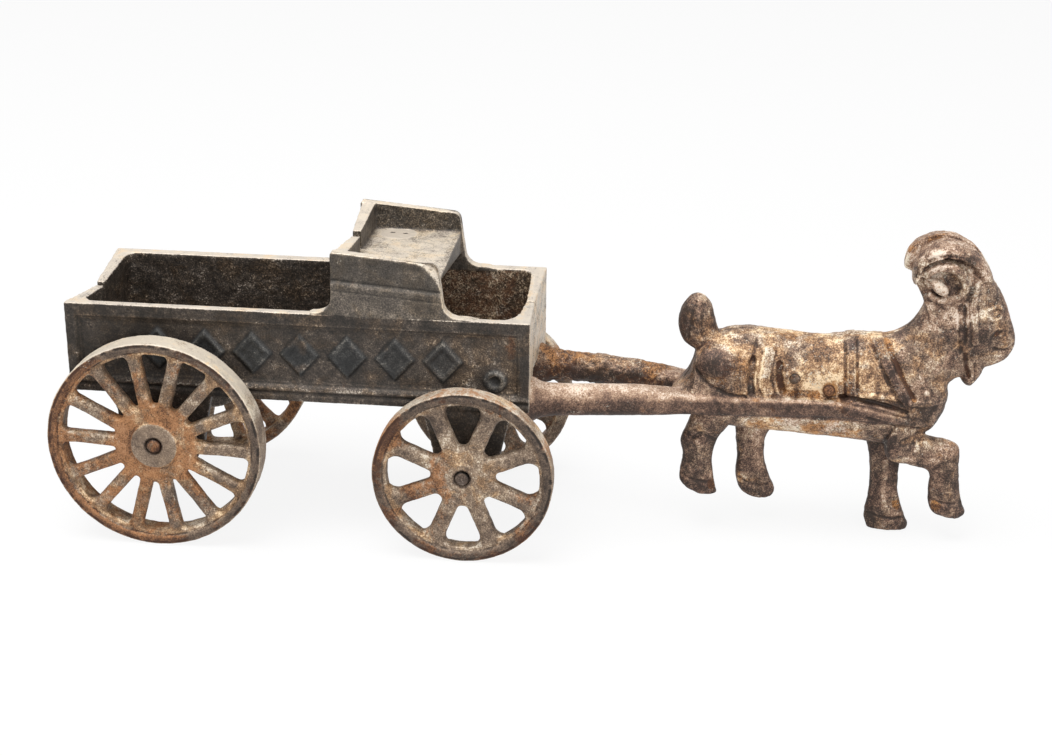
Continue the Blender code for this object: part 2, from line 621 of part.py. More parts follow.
REAR_LEFT_STUB = [(60.0, 38.0, 74.5, 38.0, 8.0), (60.0, 33.0, 72.0, 32.4, 7.4), (60.4, 28.6, 69.6, 28.0, 6.4)]
REAR_LEFT_LEG = [(60.5, 28.2, 69.5, 27.6, 6.4), (61.2, 22.0, 69.6, 21.6, 5.4), (61.0, 16.4, 71.4, 15.6, 5.4),
                 (62.2, 11.4, 73.2, 11.4, 5.8), (64.4, 9.2, 72.8, 9.4, 5.2), (66.4, 8.6, 71.4, 8.8, 4.2)]
FRONT_LEFT_STUB = [(97.0, 35.0, 115.0, 36.0, 8.6), (99.4, 29.4, 112.4, 29.4, 7.4),
                   (100.6, 25.4, 110.6, 25.4, 6.4)]
FRONT_LEFT_LEG = [(100.7, 25.1, 110.5, 25.1, 6.4), (101.5, 19.0, 110.2, 18.6, 5.4),
                  (101.6, 12.0, 110.8, 11.6, 5.2), (100.8, 5.0, 113.2, 4.6, 5.8),
                  (101.2, 2.2, 114.4, 2.0, 6.0), (102.6, 0.0, 113.8, 0.0, 5.4)]


def barrel(name, stubs, side):
    """Half of the goat's hollow barrel, with its tail, leg stubs, shaft rib and rivet bosses."""
    body = half_round(name, BARREL, side=side, collection=PARTS)
    hollow = half_round(name + "_hollow", BARREL[1:-1], inset=GOAT_WALL, flat=-1.0 * MM, side=side)
    boolean(body, hollow, "DIFFERENCE")
    inner_flat = SEAM_HALF_GAP + 0.15 * MM
    for rivet_name, (x, z) in RIVETS.items():
        y_ends = sorted((side * inner_flat, side * RIVET_BOSS_REACH))
        boss = rod(name + "_boss", RIVET_BOSS_RADIUS, x, z, *y_ends)
        boolean(body, boss, "UNION")
    tail = half_round(name + "_tail", TAIL, flat=inner_flat, side=side)
    boolean(body, tail, "UNION")
    for index, stub in enumerate(stubs):
        leg_root = half_round(f"{name}_stub_{index}", stub, flat=inner_flat, side=side)
        boolean(body, leg_root, "UNION")
    rib_points = [(x * MM, -side * y * MM, z * MM, size) for x, y, z, size in RIB]
    rib = swept(name + "_rib", rib_points, SHAFT_RADIUS, CUTTERS)
    boolean(body, rib, "UNION")
    rump = box(name + "_rump_trim", (0.0, -40 * MM, 0.0), (SHAFT_END_X + GAP, 40 * MM, 52 * MM))
    boolean(body, rump, "DIFFERENCE")
    for rivet_name, (x, z) in RIVETS.items():
        hole = rod(name + "_hole", RIVET_RADIUS + GAP, x, z, -15 * MM, 15 * MM, 16)
        boolean(body, hole, "DIFFERENCE")
    return finish(body, GREY_IRON)


def head(name, side):
    """Half of the goat's neck and head, with its horn, ear and beard."""
    skull = half_round(name, HEAD, side=side, collection=PARTS)
    inner_flat = SEAM_HALF_GAP + 0.15 * MM
    for part_name, stations in (("horn", HORN), ("ear", EAR), ("beard", BEARD)):
        part = half_round(f"{name}_{part_name}", stations, flat=inner_flat, side=side)
        boolean(skull, part, "UNION")
    return finish(skull, GREY_IRON)


def goat():
    barrel("goat_body_right", (REAR_RIGHT_STUB, FRONT_RIGHT_STUB), -1.0)
    barrel("goat_body_left", (REAR_LEFT_STUB, FRONT_LEFT_STUB), 1.0)
    head("goat_head_right", -1.0)
    head("goat_head_left", 1.0)
    legs = {"goat_leg_rear_right": (REAR_RIGHT_LEG, -1.0), "goat_leg_front_right": (FRONT_RIGHT_LEG, -1.0),
            "goat_leg_rear_left": (REAR_LEFT_LEG, 1.0), "goat_leg_front_left": (FRONT_LEFT_LEG, 1.0)}
    for name, (stations, side) in legs.items():
        leg = half_round(name, stations, side=side, collection=PARTS)
        finish(leg, GREY_IRON)
    for name, (x, z) in RIVETS.items():
        dome = [(0.0, RIVET_HALF_LENGTH), (RIVET_RADIUS * 0.7, RIVET_HALF_LENGTH - 0.15 * MM),
                (RIVET_RADIUS, RIVET_HALF_LENGTH - 0.6 * MM)]
        rivet = turned(name, dome + [(r, -h) for r, h in reversed(dome)], 16, False)
        rivet.location = (x, 0.0, z)
        rivet.rotation_euler.x = math.pi / 2.0
        finish(rivet, STEEL, 0.6, 0.6)


def centre_on_origin():
    """The numbers above count from the wagon's front wall. An empty moves all to the toy's middle."""
    toy = add_object("goat_cart_toy", None)
    toy.location.x = -(REAR_AXLE_X - REAR_RADIUS + NOSE_X) / 2.0
    for obj in list(PARTS.objects) + list(CUTTERS.objects):
        if obj != toy:
            obj.parent = toy


def main():
    rear_z = axle_height(REAR_RADIUS, REAR_STEPS)
    front_z = axle_height(FRONT_RADIUS, FRONT_STEPS)
    axles = [(REAR_AXLE_X, rear_z, REAR_LUG), (FRONT_AXLE_X, front_z, FRONT_LUG)]
    wheels()
    axle("rear_axle", REAR_AXLE_X, rear_z, REAR_RIM)
    axle("front_axle", FRONT_AXLE_X, front_z, FRONT_RIM)
    finish(mirrored(wagon_half_right(axles), "wagon_half_left"), BROWN_IRON)
    finish(cheek_and_back("seat_half_right", 0.0, PARTS), BROWN_IRON)
    seat_half_left()
    finish(mirrored(shaft_right(), "shaft_left"), RUSTY_IRON)
    goat()
    centre_on_origin()


main()
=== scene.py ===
import json
import math
import bpy
import numpy as np
from mathutils import Matrix, Vector
from mathutils.geometry import tessellate_polygon

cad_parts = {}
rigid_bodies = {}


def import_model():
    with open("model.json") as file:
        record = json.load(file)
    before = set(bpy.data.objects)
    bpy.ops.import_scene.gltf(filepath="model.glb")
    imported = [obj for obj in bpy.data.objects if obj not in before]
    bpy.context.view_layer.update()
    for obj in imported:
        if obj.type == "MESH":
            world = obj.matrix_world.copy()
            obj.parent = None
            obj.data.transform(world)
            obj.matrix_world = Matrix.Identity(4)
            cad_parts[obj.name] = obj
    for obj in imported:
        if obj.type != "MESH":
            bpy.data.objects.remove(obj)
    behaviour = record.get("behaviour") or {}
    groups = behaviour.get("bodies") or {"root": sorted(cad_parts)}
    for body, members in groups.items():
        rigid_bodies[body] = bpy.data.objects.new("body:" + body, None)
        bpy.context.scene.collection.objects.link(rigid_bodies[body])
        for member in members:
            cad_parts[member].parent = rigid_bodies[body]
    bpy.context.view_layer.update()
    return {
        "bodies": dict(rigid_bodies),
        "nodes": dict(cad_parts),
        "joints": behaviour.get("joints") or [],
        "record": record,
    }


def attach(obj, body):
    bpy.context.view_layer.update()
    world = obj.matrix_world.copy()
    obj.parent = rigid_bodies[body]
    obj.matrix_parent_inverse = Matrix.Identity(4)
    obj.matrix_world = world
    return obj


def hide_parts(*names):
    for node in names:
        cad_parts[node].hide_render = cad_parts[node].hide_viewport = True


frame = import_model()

# An old cast iron goat cart, worn and rusty. Lengths are in millimetres up to the moment a mesh is made.
# The shapes count x from the wagon's front wall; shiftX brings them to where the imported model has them.
jointAt = {joint["child"]: [1000 * value for value in joint["pos_m"]] for joint in frame["joints"]}
rearAxle, frontAxle = jointAt["rear_axle"], jointAt["front_axle"]
shiftX = frontAxle[0] + 18.25
noiseBlock = np.random.default_rng(11).random((40, 40, 40))
sides = ((-1, "Right"), (1, "Left"))


# Surfaces as numpy grids

# A smooth curve through the stations, read at even steps; each station is a row of numbers. Between two
# stations runs the cubic whose slope at each is half the step from the one before it to the one after it
def readCurve(stations, count):
    rows = np.asarray(stations, float)
    place = np.linspace(0, len(rows) - 1, count)
    i = np.minimum(place.astype(int), len(rows) - 2)
    t = (place - i)[:, None]
    before, start = rows[np.maximum(i - 1, 0)], rows[i]
    end, after = rows[i + 1], rows[np.minimum(i + 2, len(rows) - 1)]
    return 0.5 * (2 * start + (end - before) * t + (2 * before - 5 * start + 4 * end - after) * t ** 2
                  + (3 * start - before - 3 * end + after) * t ** 3)


# A profile carried along a path: rings[i, j] is point j of ring i, and each four neighbours make a face.
# The last ring joins the first, or else both ends close on the mean of their ring
def tubeShell(rings, closed=False):
    n, m, _ = rings.shape
    i, j = np.meshgrid(np.arange(n if closed else n - 1), np.arange(m), indexing="ij")
    low, high, nextJ = i * m, (i + 1) % n * m, (j + 1) % m
    quads = np.stack([low + j, low + nextJ, high + nextJ, high + j], -1).reshape(-1, 4)
    points = rings.reshape(-1, 3)
    if closed:
        return points, quads.tolist()
    j = np.arange(m)
    lowCap = np.stack([(j + 1) % m, j, np.full(m, n * m)], -1)
    highCap = np.stack([(n - 1) * m + j, (n - 1) * m + (j + 1) % m, np.full(m, n * m + 1)], -1)
    points = np.vstack([points, rings[0].mean(0), rings[-1].mean(0)])
    return points, quads.tolist() + lowCap.tolist() + highCap.tolist()


# Corners (a, b, radius) become arcs that touch both sides: the centre lies on the bisector at the radius
# over the sine of half the corner's angle, and the arc ends at the radius over the tangent of that half
def roundedOutline(corners, steps=6):
    points = []
    for index, (a, b, radius) in enumerate(corners):
        corner = np.array([a, b], float)
        before = np.array(corners[index - 1][:2], float) - corner
        after = np.array(corners[(index + 1) % len(corners)][:2], float) - corner
        before, after = before / np.linalg.norm(before), after / np.linalg.norm(after)
        if radius == 0:
            points.append(corner[None])
            continue
        half = math.acos(np.clip(before @ after, -1, 1)) / 2
        middle = (before + after) / np.linalg.norm(before + after)
        centre = corner + middle * radius / math.sin(half)
        reach = radius / math.tan(half)
        arms = np.linspace(corner + before * reach - centre, corner + after * reach - centre, steps)
        points.append(centre + radius * arms / np.linalg.norm(arms, axis=1)[:, None])
    return np.vstack(points)


# The closed outline read again at even steps along its length
def evenLoop(points, count):
    loop = np.vstack([points, points[:1]])
    length = np.concatenate([[0], np.cumsum(np.linalg.norm(np.diff(loop, axis=0), axis=1))])
    at = np.linspace(0, length[-1], count, endpoint=False)
    return np.stack([np.interp(at, length, loop[:, k]) for k in (0, 1)], -1)


# A flat outline given thickness: the outline lies on the first two axes, low and high on the third
def plateShell(outline, low, high, axes=(0, 2, 1)):
    rings = np.zeros((2, len(outline), 3))
    rings[:, :, axes[0]], rings[:, :, axes[1]] = outline[:, 0], outline[:, 1]
    rings[0, :, axes[2]], rings[1, :, axes[2]] = low, high
    count = len(outline)
    j = np.arange(count)
    quads = np.stack([j, (j + 1) % count, count + (j + 1) % count, count + j], -1).tolist()
    caps = [list(t) for t in tessellate_polygon([[Vector((*p, 0)) for p in outline]])]
    return rings.reshape(-1, 3), quads + caps + [[count + k for k in reversed(t)] for t in caps]


# A closed (radius, outward) profile turned about the axle line: x and z are the centre plus radius times
# the cosine and sine of the turn, and y is minus outward
def turnedShell(profile, centre, turns=96):
    angles = np.linspace(0, math.tau, turns, endpoint=False)[:, None]
    radius, outward = np.asarray(profile, float).T
    x, z = centre[0] + radius * np.cos(angles), centre[2] + radius * np.sin(angles)
    return tubeShell(np.stack([x, -outward + 0 * angles, z], -1), closed=True)


# Smooth noise from -1 to 1: the random values at the eight corners of a cell, each weighted by the three
# shares t t (3 - 2t) of how near the point is to it
def noiseAt(points, cell, shift=0.0):
    place = points / cell + shift
    whole = np.floor(place).astype(int)
    t = place - whole
    t = t * t * (3 - 2 * t)
    total = np.zeros(len(points))
    for corner in np.ndindex(2, 2, 2):
        weight = np.prod(np.where(corner, t, 1 - t), axis=1)
        total += weight * noiseBlock[tuple(((whole + corner) % 40).T)]
    return 2 * total - 1


# 0 below low and 1 above high; between them t t (3 - 2t), where t is the share of the way. Low may be the
# larger
def fade(value, low, high):
    t = np.clip((value - low) / (high - low), 0, 1)
    return t * t * (3 - 2 * t)


# 0 up to a, 1 from b to c and 0 again from d on: one fade times the other
def within(value, a, b, c, d):
    return fade(value, a, b) * fade(value, d, c)


# A rounded ridge: e to the power of minus (distance / width) squared
def ridge(distance, width):
    return np.exp(-(distance / width) ** 2)


# Each round adds share times weight times (the mean of its neighbours less itself) to every vertex value
def spread(values, edges, rounds, share=0.5, weight=1.0):
    values = values.copy()
    count = len(values)
    a, b = edges.T
    degree = np.maximum(np.bincount(edges.ravel(), minlength=count), 1)[:, None]
    for _ in range(rounds):
        total = np.stack([np.bincount(a, values[b, k], count) + np.bincount(b, values[a, k], count)
                          for k in range(values.shape[1])], -1)
        values += share * weight * (total / degree - values)
    return values


# Points in millimetres, and edges
def readMesh(mesh):
    points = np.empty(len(mesh.vertices) * 3, np.float32)
    mesh.vertices.foreach_get("co", points)
    edges = np.empty(len(mesh.edges) * 2, np.int32)
    mesh.edges.foreach_get("vertices", edges)
    return points.reshape(-1, 3).astype(float) * 1000, edges.reshape(-1, 2)


# The points go back into the mesh, and its vertex normals come out
def readNormals(mesh, points):
    mesh.vertices.foreach_set("co", (points / 1000).ravel().astype(np.float32))
    mesh.update()
    normals = np.empty(len(points) * 3, np.float32)
    mesh.vertex_normals.foreach_get("vector", normals)
    return normals.reshape(-1, 3).astype(float)


# (The spread point less the point) times the normal: above 0 in a hollow and below 0 on an edge
def hollowness(points, edges, normals, rounds):
    return np.sum((spread(points, edges, rounds) - points) * normals, axis=1)


def addObject(name, data):
    added = bpy.data.objects.new(name, data)
    bpy.context.scene.collection.objects.link(added)
    return added


def newPiece(name, points, faces):
    mesh = bpy.data.meshes.new(name)
    mesh.from_pydata((np.asarray(points) / 1000).tolist(), [], faces)
    return addObject(name, mesh)


# The piece keeps the mesh that its modifiers make
def bakeModifiers(piece):
    graph = bpy.context.evaluated_depsgraph_get()
    mesh = bpy.data.meshes.new_from_object(piece.evaluated_get(graph), preserve_all_data_layers=True,
                                           depsgraph=graph)
    piece.modifiers.clear()
    piece.data = mesh
    return mesh


# Shared by all castings: rounds of smoothing, each with a share out and a share back; where a crease
# begins and is full; the skin's noises as (weight, cell, shift) and their mean; where the seam's face ends
# and begins, by distance and by normal; how hollow or raised a point must be to be darkened (dirt and
# painted shade) or lightened (wear and a painted edge highlight)
casting = {
    "most": 196000, "rounding": 2, "smooth": 0.55, "back": -0.5, "creaseRounds": 8, "creaseSpread": 6,
    "crease": (0.02, 0.12), "nearRounds": 4, "broadRounds": 36,
    "skin": ((0.55, 4.2, 0.0), (0.5, 1.7, 9.1), (0.4, 0.95, 3.3)), "skinMean": 0.35, "settle": 0.2,
    "nearSeam": (0.75, 0.45), "facesSeam": (0.7, 0.95), "worn": (0.02, 0.13), "nearHollow": (0.015, 0.11),
    "broadHollow": (0.05, 0.6),
}


# Closed shells are fused on a voxel grid and rounded as a sand casting is. Then the relief moves the
# points, three sizes of noise make the rough skin, and the curvature gives the marks wear and hollow,
# which the finish turns into wear with a painted edge highlight and into dirt with painted shade
def castPiece(name, shells, look, nodes, body, relief, *place):
    faces, start = [], 0
    for points, shellFaces in shells:
        faces += [[start + k for k in face] for face in shellFaces]
        start += len(points)
    piece = newPiece(name, np.vstack([points for points, _ in shells]), faces)
    fuse = piece.modifiers.new("fuse", "REMESH")
    fuse.mode = "VOXEL"
    fuse.voxel_size = look["voxel"] / 1000
    bpy.context.view_layer.update()
    mesh = bakeModifiers(piece)
    points, edges = readMesh(mesh)
    for _ in range(casting["rounding"]):
        points = spread(points, edges, 1, casting["smooth"])
        points = spread(points, edges, 1, casting["back"])
    inward = hollowness(points, edges, readNormals(mesh, points), casting["creaseRounds"])
    crease = spread(fade(inward, *casting["crease"])[:, None], edges, casting["creaseSpread"])
    points = spread(points, edges, look["fillets"], 0.5, crease)
    normals = readNormals(mesh, points)
    onSeam = fade(np.abs(points[:, 1]), *casting["nearSeam"])
    onSeam *= fade(np.abs(normals[:, 1]), *casting["facesSeam"])
    offset, marks = relief(points, normals, *place)
    points = spread(points + offset, edges, 1, casting["settle"])
    normals = readNormals(mesh, points)
    ripple = sum(weight * noiseAt(points, cell, shift) for weight, cell, shift in casting["skin"])
    roughness = look["skin"] * marks.pop("rough", 1.0)
    points = points + normals * ((ripple - casting["skinMean"]) * roughness * (1 - onSeam))[:, None]
    normals = readNormals(mesh, points)
    near = hollowness(points, edges, normals, casting["nearRounds"])
    broad = hollowness(points, edges, normals, casting["broadRounds"])
    # Wear becomes a painted edge highlight as well as wear, hollow becomes painted shade as well as dirt, and
    # up makes upward faces paler as painted top light and dust
    marks["wear"] = fade(-near, *casting["worn"])
    sunk = fade(near, *casting["nearHollow"]) + fade(broad, *casting["broadHollow"])
    marks["hollow"] = np.clip(sunk, 0, 1)
    marks["up"] = np.clip(normals[:, 2], 0, 1)
    writeMarks(mesh, marks)
    if 2 * len(mesh.polygons) > casting["most"]:
        thinSeam(piece, onSeam > 0.5, casting["most"] / 2 / len(mesh.polygons))
    dressPiece(piece, look, nodes, body)


# The flat face where the two castings meet is hidden, so its many faces melt into a few
def thinSeam(piece, hidden, share):
    group = piece.vertex_groups.new(name="seam")
    group.add(np.flatnonzero(hidden).tolist(), 1.0, "REPLACE")
    thin = piece.modifiers.new("thin", "DECIMATE")
    thin.ratio = share
    thin.vertex_group = "seam"
    thin.vertex_group_factor = 1000.0
    bpy.context.view_layer.update()
    bakeModifiers(piece)
    piece.vertex_groups.clear()


markNames = ("wear", "hollow", "up", "dark", "paint", "rust", "pale", "tint", "plain", "grit")


# Each mark is a number per vertex from -1 to 1, and 0 where none is given
def writeMarks(mesh, marks):
    for key in markNames:
        values = np.broadcast_to(marks.get(key, 0.0), len(mesh.vertices))
        attribute = mesh.attributes.new(key, "FLOAT", "POINT")
        attribute.data.foreach_set("value", np.clip(values, -1, 1).astype(np.float32))


# Smooth shading, the finish, and the body that the piece rides on
def dressPiece(piece, look, nodes, body):
    piece.data.shade_smooth()
    piece.data.materials.clear()
    piece.data.materials.append(finishes[look["finish"]])
    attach(piece, body)
    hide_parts(*nodes)
    triangles = sum(len(face.vertices) - 2 for face in piece.data.polygons)
    print(piece.name, triangles, "triangles")


# Shells drawn for the right side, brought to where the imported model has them; mirrored for the left side
def placed(shells, side):
    return [(points * [1, -side, 1] + [shiftX, 0, 0], [face[::-side] for face in faces])
            for points, faces in shells]


# Materials

# A node with its inputs as constants or links; a colour may be given as three numbers
def newNode(tree, kind, values=None, **settings):
    node = tree.nodes.new("ShaderNode" + kind)
    for key, value in settings.items():
        setattr(node, key, value)
    for socket, value in (values or {}).items():
        if isinstance(value, bpy.types.NodeSocket):
            tree.links.new(value, node.inputs[socket])
        else:
            node.inputs[socket].default_value = (*value, 1.0) if isinstance(value, tuple) else value
    return node


# 0 at low and 1 at high; low may be the larger
def fadeNode(tree, value, low, high, kind="SMOOTHSTEP"):
    values = {0: value, 1: low, 2: high, 3: 0.0, 4: 1.0}
    return newNode(tree, "MapRange", values, interpolation_type=kind).outputs[0]


def mathNode(tree, operation, a, b):
    return newNode(tree, "Math", {0: a, 1: b}, operation=operation).outputs[0]


def mixNode(tree, factor, a, b, blend="MIX"):
    return newNode(tree, "Mix", {0: factor, 6: a, 7: b}, data_type="RGBA", blend_type=blend).outputs[2]


# Scale, detail, roughness and distortion of each noise, in Object coordinates, which are metres here
noiseLooks = {
    "coarse": (170.0, 3.0, 0.55, 0.4), "middle": (620.0, 3.0, 0.62, 0.0), "fine": (2300.0, 2.0, 0.7, 0.0),
    "tintCloud": (125.0, 4.0, 0.65, 0.5), "rustCloud": (95.0, 5.0, 0.68, 0.6),
    "rustCrumbs": (700.0, 3.0, 0.7, 0.0), "fleckPeaks": (1600.0, 3.0, 0.7, 0.2),
    "fleckDrifts": (210.0, 3.0, 0.6, 0.0),
}


def noiseNode(tree, vector, name):
    values = dict(zip(("Scale", "Detail", "Roughness", "Distortion"), noiseLooks[name]))
    return newNode(tree, "TexNoise", {"Vector": vector, **values}).outputs[0]


# The sum of each value times its weight
def weighted(tree, start, pairs):
    total = start
    for value, weight in pairs:
        total = newNode(tree, "Math", {0: value, 1: weight, 2: total}, operation="MULTIPLY_ADD").outputs[0]
    return total


# Sockets are given as the names of one kind after another: {"Float": "Tone Hint", "Color": "Deep"}. The
# function that builds the nodes returns the source of each output
def newGroup(build, inputs, outputs):
    group = bpy.data.node_groups.new(build.__name__, "ShaderNodeTree")
    for way, sockets in (("INPUT", inputs), ("OUTPUT", outputs)):
        for kind, labels in sockets.items():
            for label in labels.split():
                group.interface.new_socket(label, in_out=way, socket_type="NodeSocket" + kind)
    given, made = group.nodes.new("NodeGroupInput").outputs, group.nodes.new("NodeGroupOutput").inputs
    for label, source in build(group, given).items():
        group.links.new(source, made[label])
    return group


# Mottling of cast iron: noise of about 6, 1.6 and 0.5 mm, less small pits where the coarse noise is high
def castTone(tree, given):
    place = given["Vector"]
    coarse = noiseNode(tree, place, "coarse")
    middle = noiseNode(tree, place, "middle")
    fine = noiseNode(tree, place, "fine")
    cells = newNode(tree, "TexVoronoi", {"Vector": place, "Scale": 560.0}).outputs["Distance"]
    pits = mathNode(tree, "MULTIPLY", fadeNode(tree, cells, 0.28, 0.10), fadeNode(tree, coarse, 0.50, 0.60))
    return {"Tone": weighted(tree, -1.72, [(coarse, 1.2), (middle, 0.85), (fine, 1.35), (pits, -0.25)]),
            "Grain": mathNode(tree, "SUBTRACT", fine, 0.48),
            "Height": weighted(tree, 0.0, [(middle, 0.7), (fine, 0.6), (pits, -0.6)])}


# Five colours at the tones 0, 1/4, 1/2, 3/4 and 1, straight between
def fiveColours(tree, given):
    colour = given["Deep"]
    for index, name in enumerate(toneNames[1:]):
        step = fadeNode(tree, given["Tone"], 0.25 * index, 0.25 * index + 0.25, "LINEAR")
        colour = mixNode(tree, step, colour, given[name])
    return {"Color": colour}


# Patches of about 8 mm turn the colour warmer or cooler; Tint moves the balance
def patchTint(tree, given):
    cloud = noiseNode(tree, given["Vector"], "tintCloud")
    place = weighted(tree, cloud, [(given["Tint"], 0.25)])
    warm, cool = (mixNode(tree, 1.0, given["Color"], given[tint], "MULTIPLY") for tint in ("Warm", "Cool"))
    colour = mixNode(tree, fadeNode(tree, place, 0.49, 0.62), given["Color"], warm)
    return {"Color": mixNode(tree, fadeNode(tree, place, 0.50, 0.38), colour, cool)}


# Rust where a cloud, crumbs and the hint together pass a threshold; the tone stays readable through it
def rustBloom(tree, given):
    cloud = noiseNode(tree, given["Vector"], "rustCloud")
    crumbs = noiseNode(tree, given["Vector"], "rustCrumbs")
    total = weighted(tree, 0.0, [(cloud, 0.65), (crumbs, 0.35), (given["Hint"], 0.30)])
    mask = fadeNode(tree, total, 0.55, 0.68)
    shade = mixNode(tree, fadeNode(tree, given["Tone"], 0.25, 0.85), given["Deep"], given["Bright"])
    share = mathNode(tree, "MULTIPLY", mask, 0.85)
    return {"Color": mixNode(tree, share, given["Color"], shade), "Mask": mask}


# Small chalky flecks: the peaks of a fine noise, more of them where the amount is high
def chalkFlecks(tree, given):
    peaks = noiseNode(tree, given["Vector"], "fleckPeaks")
    drifts = noiseNode(tree, given["Vector"], "fleckDrifts")
    total = weighted(tree, given["Amount"], [(peaks, 0.75), (drifts, 0.45)])
    mask = mathNode(tree, "MULTIPLY", fadeNode(tree, total, 0.70, 0.80), 0.8)
    return {"Color": mixNode(tree, mask, given["Color"], given["Chalk"])}


toneNames = ("Deep", "Dark", "Middle", "Light", "Pale")
groups = {
    "tone": newGroup(castTone, {"Vector": "Vector"}, {"Float": "Tone Grain Height"}),
    "five": newGroup(fiveColours, {"Float": "Tone", "Color": " ".join(toneNames)}, {"Color": "Color"}),
    "tint": newGroup(patchTint, {"Vector": "Vector", "Color": "Color Warm Cool", "Float": "Tint"},
                     {"Color": "Color"}),
    "rust": newGroup(rustBloom, {"Vector": "Vector", "Color": "Color Deep Bright", "Float": "Tone Hint"},
                     {"Color": "Color", "Float": "Mask"}),
    "flecks": newGroup(chalkFlecks, {"Vector": "Vector", "Color": "Color Chalk", "Float": "Amount"},
                       {"Color": "Color"}),
}


# One finish. tone = 0.5 + bias + spread x mottling x (1 - calm x plain) + (grain + gritGain x grit) x fine
# noise + wear, up and pale - hollow and dark, each times its gain. Wear lightens worn edges and also paints a
# highlight on them, up paints top light as well as dust on upward faces, and hollow darkens with dirt and
# painted shade. The tone picks one of five colours, then come the warm and cool patches, rust, slate paint
# and flecks. Wear and upward faces shine, and rust is dull
def ironMaterial(name, look):
    material = bpy.data.materials.new(name)
    material.use_nodes = True
    tree = material.node_tree
    shader = tree.nodes["Principled BSDF"]
    place = newNode(tree, "TexCoord").outputs["Object"]
    mark = {key: newNode(tree, "Attribute", attribute_name=key).outputs["Fac"] for key in markNames}

    def useGroup(key, values):
        return newNode(tree, "Group", values, node_tree=groups[key]).outputs

    cast = useGroup("tone", {"Vector": place})
    calm = weighted(tree, look["spread"], [(mark["plain"], -look["calm"] * look["spread"])])
    gritty = weighted(tree, look["grain"], [(mark["grit"], look["gritGain"])])
    # Painted light in the tone: up lightens upward faces as top light, wear lightens edges as a highlight,
    # hollow darkens as shade; pale and dark also carry painted highlights and shade from the relief
    tone = weighted(tree, 0.5 + look["bias"], [
        (cast["Tone"], calm), (cast["Grain"], gritty), (mark["wear"], look["wearAndEdgeHighlightGain"]),
        (mark["up"], look["topLightAndDustGain"]), (mark["pale"], look["paleGain"]), (mark["hollow"], -look["hollowDirtAndShadeGain"]),
        (mark["dark"], -look["darkGain"])])
    colour = useGroup("five", {"Tone": tone, **dict(zip(toneNames, look["colours"]))})["Color"]
    colour = useGroup("tint", {"Vector": place, "Color": colour, "Tint": mark["tint"], "Warm": look["warm"],
                               "Cool": look["cool"]})["Color"]
    hint = weighted(tree, look["rustBias"], [(mark["rust"], 1.0), (mark["hollow"], look["rustInHollows"])])
    rust = useGroup("rust", {"Vector": place, "Color": colour, "Tone": tone, "Hint": hint,
                             "Deep": look["rustDeep"], "Bright": look["rustBright"]})
    painted = useGroup("five", {"Tone": tone, **dict(zip(toneNames, look["paint"]))})["Color"]
    colour = mixNode(tree, mark["paint"], rust["Color"], painted)
    amount = weighted(tree, look["fleckBias"], [(mark["pale"], look["fleckGain"]),
                                                 (mark["paint"], -look["fleckGain"])])
    flecked = useGroup("flecks", {"Vector": place, "Color": colour, "Chalk": look["chalk"], "Amount": amount})
    roughness = weighted(tree, look["roughness"], [(mark["wear"], -look["wearShine"]),
                                                   (mark["up"], -look["upShine"]),
                                                   (rust["Mask"], look["rustDull"])])
    bump = newNode(tree, "Bump", {"Height": cast["Height"], "Strength": look["bump"],
                                  "Distance": look["bumpDepth"]})
    sources = {"Base Color": flecked["Color"], "Roughness": roughness, "Normal": bump.outputs[0]}
    for socket, source in sources.items():
        tree.links.new(source, shader.inputs[socket])
    shader.inputs["Metallic"].default_value = look["metallic"]
    shader.inputs["Specular IOR Level"].default_value = look["specular"]
    return material


# What all finishes share, and what each one has of its own
# The gain on upward faces paints top light as well as dust, the gain on hollows paints shade as well as dirt,
# and the gain on worn edges paints a highlight as well as wear
common = {
    "bias": 0.0, "spread": 0.85, "wearAndEdgeHighlightGain": 0.20, "topLightAndDustGain": 0.12, "paleGain": 0.45, "hollowDirtAndShadeGain": 0.22,
    "darkGain": 0.45, "rustBias": -0.05, "rustInHollows": 0.15, "fleckBias": 0.0, "warm": (1.14, 0.98, 0.78),
    "cool": (0.88, 0.88, 0.90), "chalk": (0.62, 0.56, 0.46), "rustDeep": (0.070, 0.028, 0.014),
    "rustBright": (0.36, 0.16, 0.065), "roughness": 0.62, "metallic": 0.2, "bump": 0.75, "grain": 0.2,
    "calm": 0.7, "gritGain": 1.1, "fleckGain": 0.10, "wearShine": 0.14, "upShine": 0.06, "rustDull": 0.14,
    "bumpDepth": 0.0003, "specular": 0.45,
    "paint": ((0.004, 0.004, 0.004), (0.010, 0.010, 0.010), (0.020, 0.021, 0.021), (0.050, 0.050, 0.047),
              (0.150, 0.140, 0.125)),
}
